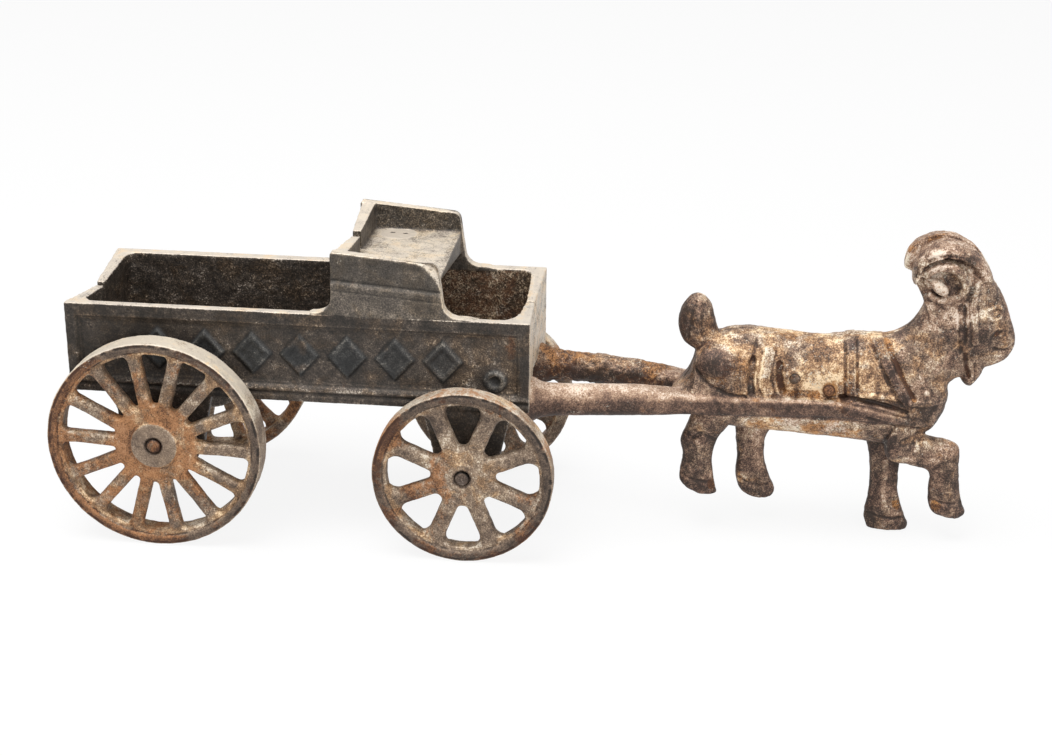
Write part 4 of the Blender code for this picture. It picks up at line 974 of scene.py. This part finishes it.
# Stations (x, z, how far out, radius) of round ropes laid on the head: the rim of the ear and its lobe
headRopes = [
    [(111.4, 83.9, 6, 0.9), (113, 86.4, 7, 1.2), (116, 88, 7.5, 1.45), (119.4, 87.5, 7.6, 1.5),
     (122, 85.2, 7.3, 1.4), (122.9, 82.3, 7, 1.3), (121.7, 79.4, 6.7, 1.2), (118.8, 77.7, 6.5, 1.1),
     (115.4, 77.6, 6.3, 1), (112.6, 79.2, 5.8, 0.9)],
    [(112.9, 83.8, 5.8, 0.6), (114, 82.9, 6.6, 1.45), (115.9, 81.4, 7, 1.75), (117.5, 79.9, 6.8, 1.3),
     (118.3, 79.2, 5.8, 0.5)],
]
# Stations of the legs, which are round
rightLegs = {
    "rear": [(47.2, 40, 61, 39, 9.6), (45.2, 33.4, 56.6, 32.8, 8.4), (43.8, 29.2, 54.6, 28.8, 7.2),
             (44.7, 24, 53.7, 23.2, 6.2), (44, 18.4, 54.4, 17.2, 5.8), (44.6, 14.8, 55.2, 13.6, 6),
             (48, 12.2, 55.6, 12, 5.6), (50.8, 11.2, 54.6, 11.4, 4.2)],
    "front": [(104, 33.5, 108.5, 42, 9.6), (105.6, 26.6, 112.6, 37.4, 8.4),
              (112.2, 24.7, 116.6, 34.3, 7.2), (116.9, 23.6, 122.2, 33.2, 6.8),
              (118.5, 21.4, 126.4, 30.8, 6.5), (118.6, 17.6, 127.2, 22, 5.8),
              (118.8, 13.2, 128.8, 13.6, 6), (120.2, 9.8, 130.2, 10, 6), (123.6, 8, 129, 7.7, 4.6)],
}
leftLegs = {
    "rear": [(60, 38, 74.5, 38, 9.2), (60, 33, 72, 32.4, 8), (60.4, 28.6, 69.6, 28, 6.8),
             (61.2, 22, 69.6, 21.6, 5.9), (61, 16.4, 71.4, 15.6, 5.8), (62.2, 11.4, 73.2, 11.4, 6),
             (64.4, 9.3, 72.8, 9.4, 5.4), (66.4, 8.7, 71.4, 8.8, 4.2)],
    "front": [(97, 35, 115, 36, 9.6), (99.4, 29.4, 112.4, 29.4, 8), (100.6, 25.4, 110.6, 25.4, 6.8),
              (101.5, 19, 110.2, 18.6, 5.8), (101.6, 12, 110.8, 11.6, 5.6), (100.8, 5, 113.2, 4.6, 6),
              (101.2, 2.2, 114.4, 2, 6), (102, 0.25, 114, 0.25, 5.7)],
}
goat = {
    "voxel": 0.34, "fillets": 8, "skin": 0.17, "finish": "goatIron", "slot": "grey_iron",
    "nodes": ("shaft", "goat_body", "goat_head", "goat_leg_front", "goat_leg_rear"),
}
# The shaft from the wagon's front wall to the goat's shoulder, and how its section turns from round to a
# flat bar: x, distance from the seam, z, half its breadth, half its height, power of the section
shaftRoute = [(-3, 15.4, 43.9, 7.6, 7.6, 2), (0.2, 14.7, 43.9, 6.6, 6.6, 2),
              (2.5, 14.4, 43.9, 5.4, 5.4, 2), (6, 14, 43.9, 4.95, 4.95, 2), (11, 13.4, 43.9, 4.8, 4.8, 2),
              (20, 12.2, 43.9, 4.75, 4.75, 2), (30, 10.4, 43.7, 4.7, 4.6, 2.2),
              (38, 8.9, 43.2, 4.6, 4, 2.7), (46, 7.4, 42.9, 4.6, 3.2, 3.6), (56, 7.4, 43, 4.6, 3, 4.5),
              (68, 7.9, 43.3, 4.2, 2.8, 5), (80, 8.6, 43.9, 3.5, 2.6, 5), (90, 9, 43.7, 3, 2.3, 4.5),
              (98, 8.8, 42.4, 2.9, 2.1, 3.5), (106, 7.9, 40.9, 2.7, 1.9, 3),
              (113, 6.4, 39.5, 2.2, 1.3, 2.5), (118, 4.8, 38.7, 1.4, 0.9, 2.2)]
# The web that rises from the shaft to the tail: x, top z, how far out its foot reaches
rumpWeb = [(40.5, 44, 10.6), (42.4, 46.4, 11.2), (44.2, 48.2, 11.2), (45.8, 51, 11), (46.8, 55, 10.8),
           (47.6, 58, 10.8), (52, 56, 10.9), (62, 50, 11), (66, 46, 10.6)]

# Lines on the flank in (x, z): half width, height (a groove where negative) and what they do to the colour.
# The dark along a groove is painted shade, the dark of a strap is its own colour, and the pale along a
# raised line is a painted highlight as well as wear
goatLines = [
    ([(92, 65), (92.5, 56), (93.2, 47.8)], 1.5, 0.45, {"dark": 0.9, "tint": -0.8}),
    ([(90.3, 65), (90.8, 55.6), (91.5, 46.8)], 0.4, -0.4, {"dark": 0.5}),
    ([(93.9, 65.4), (94.3, 56.4), (94.8, 48.3)], 0.35, -0.5, {"dark": 0.5, "rust": 0.5}),
    ([(98.8, 66.2), (102.8, 58), (106.5, 51.7), (109.4, 47)], 1.45, 0.6,
     {"dark": 1.9, "tint": -1.2, "rust": -1.5, "whole": 1}),
    ([(97.2, 64.6), (100.7, 57.4), (104.7, 50.3), (107.4, 46.4)], 0.35, -0.35, {"dark": 0.2}),
    ([(101, 67), (105, 58.6), (108.3, 52.3), (111, 47.8)], 0.7, -0.4,
     {"rust": 1.6, "dark": 0.4, "tint": 0.8, "whole": 0.8}),
    ([(110.4, 46.8), (115.1, 46.4), (120.4, 47)], 1, 0.7, {"rust": 0.6, "dark": 0.15}),
    ([(111.6, 48.5), (115.6, 47.9), (120.2, 48.5)], 0.45, 0, {"pale": 0.6}),
    ([(94.8, 48.4), (100.4, 48.6), (107, 47.8)], 0.7, 0.6, {"pale": 0.3}),
    ([(96, 45.4), (103, 44.2), (110.5, 42.6)], 0.7, 0.4, {"pale": 0.2}),
    ([(90.1, 47.3), (97, 46.9), (103, 45.6), (109.5, 43.4)], 0.55, -0.9, {"dark": 0.9}),
    ([(98, 41.9), (106, 39.6), (113.5, 37.6)], 0.6, -0.6, {"dark": 0.35}),
    ([(87, 63.6), (92, 65.6), (99, 66), (102, 66.2)], 1.3, 0.5, {"pale": 0.5}),
    ([(95.4, 63.6), (97.8, 63.8)], 0.7, -0.6, {"dark": 0.9}),
    ([(63.9, 57.2), (63.6, 51.6), (64, 47.4)], 0.95, -0.8, {"dark": 0.75, "tint": -0.6}),
    ([(65.2, 63.6), (64.5, 61), (63.9, 57.2)], 0.5, -0.5, {"dark": 0.3}),
    ([(61.7, 56.6), (61.4, 51.8), (62.3, 48)], 0.8, 0.35, {"pale": 0.25}),
    ([(68.6, 59.8), (67.8, 55.7), (67.6, 51.3), (68.8, 47.8)], 1.7, 0.7, {"pale": 0.55, "tint": -0.4}),
    ([(66.2, 64), (66, 62.2), (67.8, 59.6)], 0.8, 0.4, {"pale": 0.6}),
    ([(71.8, 56.4), (72, 52), (73.2, 48)], 0.95, -0.8, {"rust": 1, "dark": 0.2, "tint": 0.5}),
    ([(73.4, 47.6), (78.5, 47.4), (83, 47.6)], 0.9, -0.3, {"rust": 1, "tint": 0.7}),
    ([(46.4, 57.6), (48.2, 52.4), (51.7, 49.2), (56.4, 47.1), (62.3, 46.3)], 0.6, -0.4, {"dark": 0.75}),
    ([(46.6, 72.4), (45.4, 67.4), (45, 62)], 0.5, -0.45, {"dark": 0.4}),
    ([(48.9, 71.6), (48.4, 66.8), (48.8, 62.6)], 0.5, -0.4, {"dark": 0.3}),
]
# As on the flank: dark along a groove is painted shade, pale along a raised line a painted highlight as well
# as wear
headLines = [
    ([(109, 84.4), (111.4, 87.2), (115.6, 89.4), (120.4, 89.6), (124.6, 87.6)], 0.6, -0.8, {"dark": 0.6}),
    ([(108.6, 85.2), (110.8, 89), (114.6, 91.2), (119, 91.6)], 0.5, -0.5, {"dark": 0.5}),
    ([(110, 86), (112.4, 88.6), (115.4, 90.4)], 0.5, 0.35, {"dark": 0.3}),
    ([(109.4, 91.6), (112.4, 94), (117, 95), (121.4, 93.6)], 0.9, 0.3, {"rust": 0.8, "dark": 0.2}),
    ([(113, 90.6), (110.6, 87.2)], 0.45, -0.4, {"dark": 0.3}),
    ([(118.6, 93.4), (117.2, 90.4)], 0.45, -0.4, {"dark": 0.3}),
    ([(125.3, 87.2), (125.4, 84), (124.9, 80), (123.2, 77)], 0.5, -0.4, {"dark": 0.2}),
    ([(126.4, 82.4), (128.6, 84.4), (130.6, 83.8)], 0.7, 0.5, {"pale": 0.3}),
    ([(122.8, 75.6), (123.3, 71), (123.9, 65.2)], 1.15, -0.75, {"dark": 0.8, "tint": -0.8}),
    ([(123.2, 64.4), (123.8, 61.6)], 0.6, -0.5, {"dark": 0.3}),
    ([(126.2, 81.8), (125.9, 77), (126.6, 71), (127.6, 65)], 0.9, 0.55, {"pale": 0.35}),
    ([(130.4, 75.2), (132.4, 75.9), (134.8, 75.1)], 0.4, 0.4, {"pale": 0.5}),
    ([(131, 72.7), (132.8, 72.2), (134.6, 72.9)], 0.4, 0.35, {"pale": 0.3}),
    ([(131, 67.2), (131.7, 68.8), (133.3, 69.6), (135.2, 68.8), (134.8, 67.2)], 0.45, 0.35, {"pale": 0.8}),
    ([(139.6, 64.3), (137.8, 63.1), (135.6, 62.5), (133.2, 63)], 0.45, -0.6, {"dark": 0.5}),
    ([(138.6, 61.3), (136.2, 60.6), (133.6, 60.8)], 0.5, 0.35, {"pale": 0.45}),
    ([(137.4, 67.6), (138.6, 66.4)], 0.55, -0.5, {"dark": 0.6}),
    ([(124.9, 61.2), (125.7, 57.8), (126.9, 53.6)], 0.55, -0.8, {"rust": 0.8, "dark": 0.3}),
    ([(128.2, 58), (128.8, 52.4)], 0.4, -0.4, {"dark": 0.25}),
    ([(130.6, 57.6), (130.5, 54.6)], 0.4, -0.3, {"dark": 0.2}),
]
# As on the flank: dark along a groove is painted shade, pale along a raised line a painted highlight as well
# as wear
legLines = {
    -1: [
        ([(45.2, 32.8), (47.4, 30.9), (50.5, 33.2), (53.6, 30.8)], 0.7, -0.5, {"dark": 0.6}),
        ([(49, 29.8), (49.8, 25.4), (50.6, 20.6)], 0.7, 0.3, {"pale": 0.6}),
        ([(44, 18.6), (48.8, 16.6), (55, 16)], 0.5, -0.35, {"dark": 0.4}),
        ([(118.6, 14.6), (123.7, 13.4), (129, 13.6)], 0.5, -0.35, {"dark": 0.4}),
        ([(119.6, 24.6), (121.4, 26.6), (125, 27)], 0.6, -0.3, {"dark": 0.3}),
        ([(109.6, 33.4), (112.6, 34.2), (115, 35.6)], 1.5, -0.5, {"dark": 0.7}),
        ([(113.4, 33.6), (113.9, 31.4), (113, 30.6)], 0.55, 0.3, {"pale": 1}),
    ],
    1: [
        ([(105.6, 23), (105.9, 15), (106.6, 7.4)], 0.9, 0.35, {"pale": 0.7}),
        ([(108.6, 22), (108.8, 14), (110.4, 6.4)], 0.7, -0.3, {"dark": 0.6, "rust": 0.5}),
        ([(103.2, 22), (103.4, 14), (102.6, 7)], 0.6, -0.25, {"dark": 0.5}),
        ([(101, 5.6), (107, 4.6), (113.6, 4.2)], 0.5, -0.4, {"dark": 0.7}),
        ([(62.2, 24), (61.9, 17), (63.4, 11.6)], 0.9, 0.2, {"rust": 0.9, "tint": 0.5}),
        ([(61.6, 15.2), (67, 13.2), (73, 13.4)], 0.5, -0.35, {"dark": 0.5}),
    ],
}
# Round marks: bulges, dimples and patches of colour at (x, z); the dark in a dimple is painted shade
goatSpots = [
    ((75.9, 53), 3, 0.5, {"pale": 0.3}),
    ((75.9, 53), 2.1, -0.3, {"dark": 0.3}),
    ((86.5, 49.3), 2.6, 0.2, {"rust": 0.5}),
    ((91, 46.9), 1.2, -0.8, {"dark": 1}),
    ((132.7, 74), 1.9, -0.45, {"dark": 0.35}),
    ((132.9, 74), 1, 0.5, {"pale": 0.2}),
    ((133.3, 68), 1, -0.3, {"rust": 0.8}),
    ((129.6, 70), 6.5, 0.9, {}),
    ((137, 64.6), 4, 0.6, {}),
    ((129.4, 79.6), 5, 0.6, {}),
    ((114.4, 92.2), 3.6, 0.3, {"pale": 0.8, "tint": -1}),
    ((119.5, 91.6), 2.6, 0.2, {"pale": 0.4, "tint": -0.6}),
    ((116, 81.3), 2.6, 0, {"pale": 0.55, "tint": -0.5}),
    ((118.4, 84), 2.5, -0.4, {"dark": 0.55}),
    ((120.2, 81.6), 1.4, -0.3, {"dark": 0.35}),
    ((97.8, 50.8), 3, 0, {"pale": 0.6, "tint": 0.8}),
    ((103, 62), 4, 0, {"pale": 0.5, "tint": 0.9}),
    ((96.8, 55), 2.6, -0.2, {"dark": 0.5}),
    ((61, 62.5), 5, 0, {"pale": 0.12}),
    ((51.5, 61.8), 3.2, 0, {"pale": 0.25}),
    ((52.4, 55), 5.6, 0.3, {"dark": 0.3}),
    ((54, 50.6), 3, 0, {"pale": 0.3, "rust": 0.4}),
    ((50.4, 57), 4.4, 0, {"dark": 0.3}),
    ((84, 55), 7.5, 0, {"pale": 0.3, "tint": 0.8}),
    ((82.5, 51), 4.5, 0, {"pale": 0.5}),
    ((78, 60), 5.5, 0, {"dark": 0.15, "tint": -0.6}),
    ((115, 49.5), 1.2, 0.1, {"pale": 1}),
    ((54.4, 15), 1.8, 0, {"rust": 1.2, "tint": 1}),
    ((121, 12.4), 1.9, 0, {"rust": 1.4, "tint": 1}),
    ((110.4, 8.6), 1.8, 0, {"rust": 1.4, "tint": 1}),
]
# Parts of the goat that have a colour of their own, as (none at, full from, full to, none at) on x and on z;
# an open end lies far outside
openLow, openHigh = (-901, -900), (900, 901)
goatRegions = {
    "ledge": ((64, 70, 91, 97), (45.9, 46.9, 48.5, 56.0)),
    "belly": ((60, 64, 95, 100), (*openLow, 39.2, 40.2)),
    "flank": ((60, 66, 98, 106), (45.5, 47.0, 62, 66)),
    "head": ((100, 106, *openHigh), (66, 72, *openHigh)),
    "horn": ((100, 106, *openHigh), (88.5, 90.5, *openHigh)),
    "tail": ((*openLow, 48, 52), (60, 63, *openHigh)),
    "ramp": ((35, 39, 45, 48), (46.0, 47.5, *openHigh)),
    "rump": ((44, 48, 63, 67), (47, 49, 58, 62)),
    "throat": ((96, 104, *openHigh), (*openLow, 76, 84)),
    "withers": ((*openLow, 104, 108), (62.0, 64.6, *openHigh)),
    "bar": ((*openLow, 104, 112), (39.0, 40.0, 46.0, 46.6)),
}
# From x 0, 58, 80 and 116 on: a hoof is full below the first height and gone above the second
hoofStarts = [58, 80, 116]
hoofHeights = np.array([(15.0, 17.0), (12.8, 14.2), (4.2, 5.2), (12.4, 13.6)])
lineGain = {"dark": 0.5, "rust": 0.8, "pale": 0.8, "tint": 0.8}


# A round rope: each point is the path plus radius times cosine across it and radius times sine outwards
def ropeShell(stations, side, around=20):
    x, z, out, radius = (column[:, None] for column in readCurve(stations, 10 * len(stations)).T)
    ahead = np.stack([np.gradient(x[:, 0]), np.gradient(z[:, 0])], -1)
    ahead = ahead / np.linalg.norm(ahead, axis=1)[:, None]
    turn = np.linspace(0, math.tau, around, endpoint=False)
    across = radius * np.cos(turn)
    return tubeShell(np.stack([x - ahead[:, 1:] * across, side * (out + radius * np.sin(turn)),
                               z + ahead[:, :1] * across], -1))


# Sections |a/breadth|^power + |b/height|^power = 1 along the route; they stand square to x
def shaftShell(side):
    x, out, z, breadth, height, power = readCurve(shaftRoute, 170).T[:, :, None]
    turn = np.linspace(0, math.tau, 48, endpoint=False)
    a = np.sign(np.cos(turn)) * np.abs(np.cos(turn)) ** (2 / power)
    b = np.sign(np.sin(turn)) * np.abs(np.sin(turn)) ** (2 / power)
    return tubeShell(np.stack([x + 0 * turn, side * (out + breadth * a), z + height * b], -1))


# Sections carried along the stations, whose angle runs from the low to the high end. A half round body
# stands out from the seam plane by its reach times the sine to the power 0.85; a whole round one, a leg,
# is an oval whose inner side touches that plane
def bodyShell(stations, side, whole):
    rows = readCurve(stations, (len(stations) - 1) * 14 + 1)
    if whole:
        turn = np.linspace(0, math.tau, 44, endpoint=False)
        out = rows[:, 4:5] / 2 * (1 + np.sign(np.sin(turn)) * np.abs(np.sin(turn)) ** 0.8)
    else:
        turn = np.linspace(0, math.pi, 40)
        out = np.maximum(rows[:, 4:5], 0.2) * np.sin(turn) ** 0.85
    low, high = rows[:, None, 0:2], rows[:, None, 2:4]
    flat = (high + low) / 2 + (low - high) / 2 * np.cos(turn)[:, None]
    return tubeShell(np.stack([flat[..., 0], side * (wagon["seam"] + out), flat[..., 1]], -1))


# Five sided sections along x: from the seam up to the top, and down a slope to the foot on the shaft
def webShell(side):
    x, top, foot = readCurve(rumpWeb, 60).T
    seam = np.full(len(x), wagon["seam"])
    out = np.stack([seam, foot - 1.5, foot, 0.45 * foot, seam], -1)
    z = np.stack([seam * 0 + 41.5, seam * 0 + 41.5, seam * 0 + 44.6, top - 0.4, top], -1)
    return tubeShell(np.stack([np.broadcast_to(x[:, None], out.shape), side * out, z], -1))


# The distance to a smooth line through the path is the least one to any of its straight steps: the foot of
# the perpendicular lies at t along the step, held between 0 and 1
def lineDistance(x, z, path):
    line = readCurve(path, 6 * len(path)) if len(path) > 2 else np.asarray(path, float)
    best = np.full(len(x), 1e9)
    for (x0, z0), (x1, z1) in zip(line[:-1], line[1:]):
        dx, dz = x1 - x0, z1 - z0
        t = np.clip(((x - x0) * dx + (z - z0) * dz) / (dx * dx + dz * dz), 0, 1)
        best = np.minimum(best, np.hypot(x - x0 - t * dx, z - z0 - t * dz))
    return best


# Straps, folds, eye and mouth worked into the outer face: each line or spot adds its height where it is
# near, and on the legs both faces take part. The flank is pushed in above the shaft, which leaves a ledge
def goatRelief(points, normals, side):
    x, z = points[:, 0] - shiftX, points[:, 2]
    area = {key: within(x, *alongX) * within(z, *alongZ) for key, (alongX, alongZ) in goatRegions.items()}
    legs = fade(z, 33.5, 31.5) * (x > 40)
    facing = np.maximum(fade(normals[:, 1] * side, 0.15, 0.6), legs * fade(np.abs(normals[:, 1]), 0.15, 0.6))
    height = np.zeros(len(points))
    marks = {key: np.zeros(len(points)) for key in lineGain}
    crumbs = noiseAt(points, 1.3, 4.4)
    broken = fade(noiseAt(points, 2.6, 8.2) + 0.5 * crumbs, -0.9, 0.3)
    for path, half, raised, gains in goatLines + headLines + legLines[side]:
        away = lineDistance(x, z, path)
        height += 1.25 * raised * fade(away, half + 0.45, half - 0.45)
        inside = fade(away + 0.3 * crumbs, half + 0.4, half - 0.5) * facing
        inside *= np.maximum(broken, gains.get("whole", 0))
        for key, gain in lineGain.items():
            marks[key] += gain * gains.get(key, 0) * inside
    for (spotX, spotZ), radius, raised, gains in goatSpots:
        away = np.hypot(x - spotX, z - spotZ) / radius
        height += raised * fade(away, 1.0, 0.35)
        patch = fade(away + 0.35 * crumbs, 1.05, 0.5) * facing
        for key in marks:
            marks[key] += gains.get(key, 0) * patch
    onGoat = fade(x, 40, 48)
    height -= 1.5 * area["ledge"]
    coat = noiseAt(points * [1, 1, 0.6], 1.9, 2.2) * 0.5 + noiseAt(points, 3.2, 7.7) * 0.6
    height += 0.28 * coat * onGoat
    cloud = noiseAt(points, 8.0, 5.5)
    behind = fade(x, 46, 40)
    shaft = np.clip((behind + (1 - behind) * area["bar"]) * (x > -6), 0, 1)
    belly, flank, head, horn = area["belly"] * (1 - legs), area["flank"], area["head"], area["horn"]
    hoofLow, hoofHigh = hoofHeights[np.searchsorted(hoofStarts, x)].T
    hoof = legs * fade(z, hoofHigh, hoofLow)
    farShaft = fade(x, 44, 36) * (side == 1)
    nearShaft = shaft * (1 - farShaft)
    nearRear = fade(x, 60, 56) * (side == -1)
    upward = normals[:, 2]
    top = np.clip(upward, 0, 1)
    # Painted shade: faces turned sideways and not up are darkened, as shade on the sides of legs and body
    paintedSideShade = fade(np.abs(normals[:, 1]), 0.8, 0.35) * fade(upward, 0.6, 0.1) * onGoat
    smallPatches = fade(noiseAt(points, 5.0, 3.9) + 0.3 * crumbs, 0.0, 0.3)
    largePatches = fade(noiseAt(points, 9.0, 6.6) + 0.25 * crumbs, 0.1, 0.4)
    # Painted light: the shaft's upward faces and the top of the withers are lightened as top light, and the
    # shaft's side and underside are darkened as shade
    marks["pale"] += (0.32 * flank + 0.62 * belly + 0.16 * cloud + 0.28 * shaft * fade(top, 0.55, 0.95)
                      + 0.08 * horn + 0.65 * head * (1 - horn) + 0.25 * area["withers"] * top)
    marks["dark"] += ((0.32 * nearRear - 0.04) * legs + 0.40 * hoof + 0.32 * area["tail"] + 0.06 * head
                      + 0.45 * shaft * fade(top, 0.5, 0.1) + 0.30 * shaft * fade(upward, -0.1, -0.7)
                      + 0.55 * farShaft + 0.55 * area["ramp"] + 0.5 * paintedSideShade * (1 - shaft)
                      + 0.12 * area["throat"] + 0.30 * area["rump"]
                      + (0.34 * smallPatches + 0.40 * largePatches) * onGoat)
    marks["rust"] += (0.28 * cloud + 0.35 * belly + 0.15 * flank + 0.35 * farShaft - 0.3 * head + 0.1 * shaft
                      + 0.8 * horn * (side == 1))
    marks["tint"] += 0.5 * flank - 0.3 * head - 0.4 * horn - 0.35 * legs - 0.7 * nearShaft
    marks["plain"] = 0.5 * shaft * (1 - farShaft)
    marks["rough"] = 1.0 + 2.4 * farShaft + 0.6 * horn - 0.45 * nearShaft
    return (np.sign(normals[:, 1]) * height * facing)[:, None] * [0, 1, 0], marks


def makeGoat():
    for side, name, legs in ((-1, "Right", rightLegs), (1, "Left", leftLegs)):
        shells = [bodyShell(stations, side, False) for stations in (*goatForms.values(), horns[side])]
        shells += [bodyShell(stations, side, True) for stations in legs.values()]
        shells += [ropeShell(stations, side) for stations in headRopes]
        shells += [shaftShell(side), webShell(side)]
        nodes = [f"{part}_{name.lower()}" for part in goat["nodes"]]
        castPiece("goatAndShaft" + name, [(points + [shiftX, 0, 0], faces) for points, faces in shells], goat,
                  nodes, "cart", goatRelief, side)


# Camera, light and floor

view = {"lens": 63.93, "yaw": -5.589, "pitch": 21.743, "roll": 0.825, "target": (-0.00293, 0.0, 0.04458),
        "distance": 0.5653}
lamps = {
    "key": {"power": 12.5, "size": 0.75, "at": (-0.20, -0.20, 1.10)},
    "front": {"power": 2.8, "size": 0.6, "at": (0.45, -1.0, 0.50)},
    "side": {"power": 2.2, "size": 0.5, "at": (1.0, -0.45, 0.30)},
}
lampTarget = Vector((0, 0, 0.04))
floorLook = {"color": (0.92, 0.92, 0.92, 1), "roughness": 0.9, "ownWhite": 0.88, "half": 3000}
worldStrength = 0.36


# The camera is turned by yaw about the vertical, by pitch downwards and by roll about its own line of sight
def makeStage():
    yaw, pitch, roll = (math.radians(view[key]) for key in ("yaw", "pitch", "roll"))
    ahead = Vector((math.sin(yaw) * math.cos(pitch), math.cos(yaw) * math.cos(pitch), -math.sin(pitch)))
    right = Vector((math.cos(yaw), -math.sin(yaw), 0.0))
    up = right.cross(ahead)
    right, up = math.cos(roll) * right + math.sin(roll) * up, -math.sin(roll) * right + math.cos(roll) * up
    place = Matrix((right, up, -ahead)).transposed().to_4x4()
    place.translation = Vector(view["target"]) - ahead * view["distance"]
    data = bpy.data.cameras.new("camera")
    data.lens = view["lens"]
    data.sensor_width = 36
    data.clip_start = 0.01
    camera = addObject("camera", data)
    camera.matrix_world = place
    bpy.context.scene.camera = camera
    for name, lamp in lamps.items():
        data = bpy.data.lights.new(name, "AREA")
        data.energy = lamp["power"]
        data.size = lamp["size"]
        light = addObject(name, data)
        light.location = lamp["at"]
        light.rotation_euler = (lampTarget - light.location).to_track_quat("-Z", "Y").to_euler()
    makeFloor()
    makeWorld()
    bpy.context.scene.view_settings.view_transform = "Standard"


# 1 for rays that show the surroundings: camera, glossy and transmission rays
def seenDirectly(tree):
    path = newNode(tree, "LightPath").outputs
    glossy = mathNode(tree, "MAXIMUM", path["Is Camera Ray"], path["Is Glossy Ray"])
    return mathNode(tree, "MAXIMUM", glossy, path["Is Transmission Ray"])


# White of strength 1 takes the given share of what is seen directly, and the shader keeps the rest
def showWhite(tree, shader, kind, share, output):
    white = newNode(tree, kind, {"Color": (1, 1, 1), "Strength": 1.0})
    factor = mathNode(tree, "MULTIPLY", seenDirectly(tree), share)
    mix = newNode(tree, "MixShader", {0: factor, 1: shader.outputs[0], 2: white.outputs[0]})
    tree.links.new(mix.outputs[0], tree.nodes[output].inputs["Surface"])


# A pale floor, which takes the shadow and looks nearly as white as the background
def makeFloor():
    half = floorLook["half"]
    floor = newPiece("floor", [(-half, -half, 0), (half, -half, 0), (half, half, 0), (-half, half, 0)],
                     [(0, 1, 2, 3)])
    material = bpy.data.materials.new("paleFloor")
    material.use_nodes = True
    tree = material.node_tree
    shader = tree.nodes["Principled BSDF"]
    shader.inputs["Base Color"].default_value = floorLook["color"]
    shader.inputs["Roughness"].default_value = floorLook["roughness"]
    showWhite(tree, shader, "Emission", floorLook["ownWhite"], "Material Output")
    floor.data.materials.append(material)


# White surroundings, weak as a light
def makeWorld():
    world = bpy.data.worlds.new("studio")
    world.use_nodes = True
    tree = world.node_tree
    light = tree.nodes["Background"]
    light.inputs["Color"].default_value = (1, 1, 1, 1)
    light.inputs["Strength"].default_value = worldStrength
    showWhite(tree, light, "Background", 1.0, "World Output")
    bpy.context.scene.world = world


makeStage()
print("stage ready")
makeWheels()
print("wheels ready")
makePins()
print("pins ready")
makeWagon()
print("wagon ready")
makeSeat()
print("seat ready")
makeGoat()
print("goat ready")
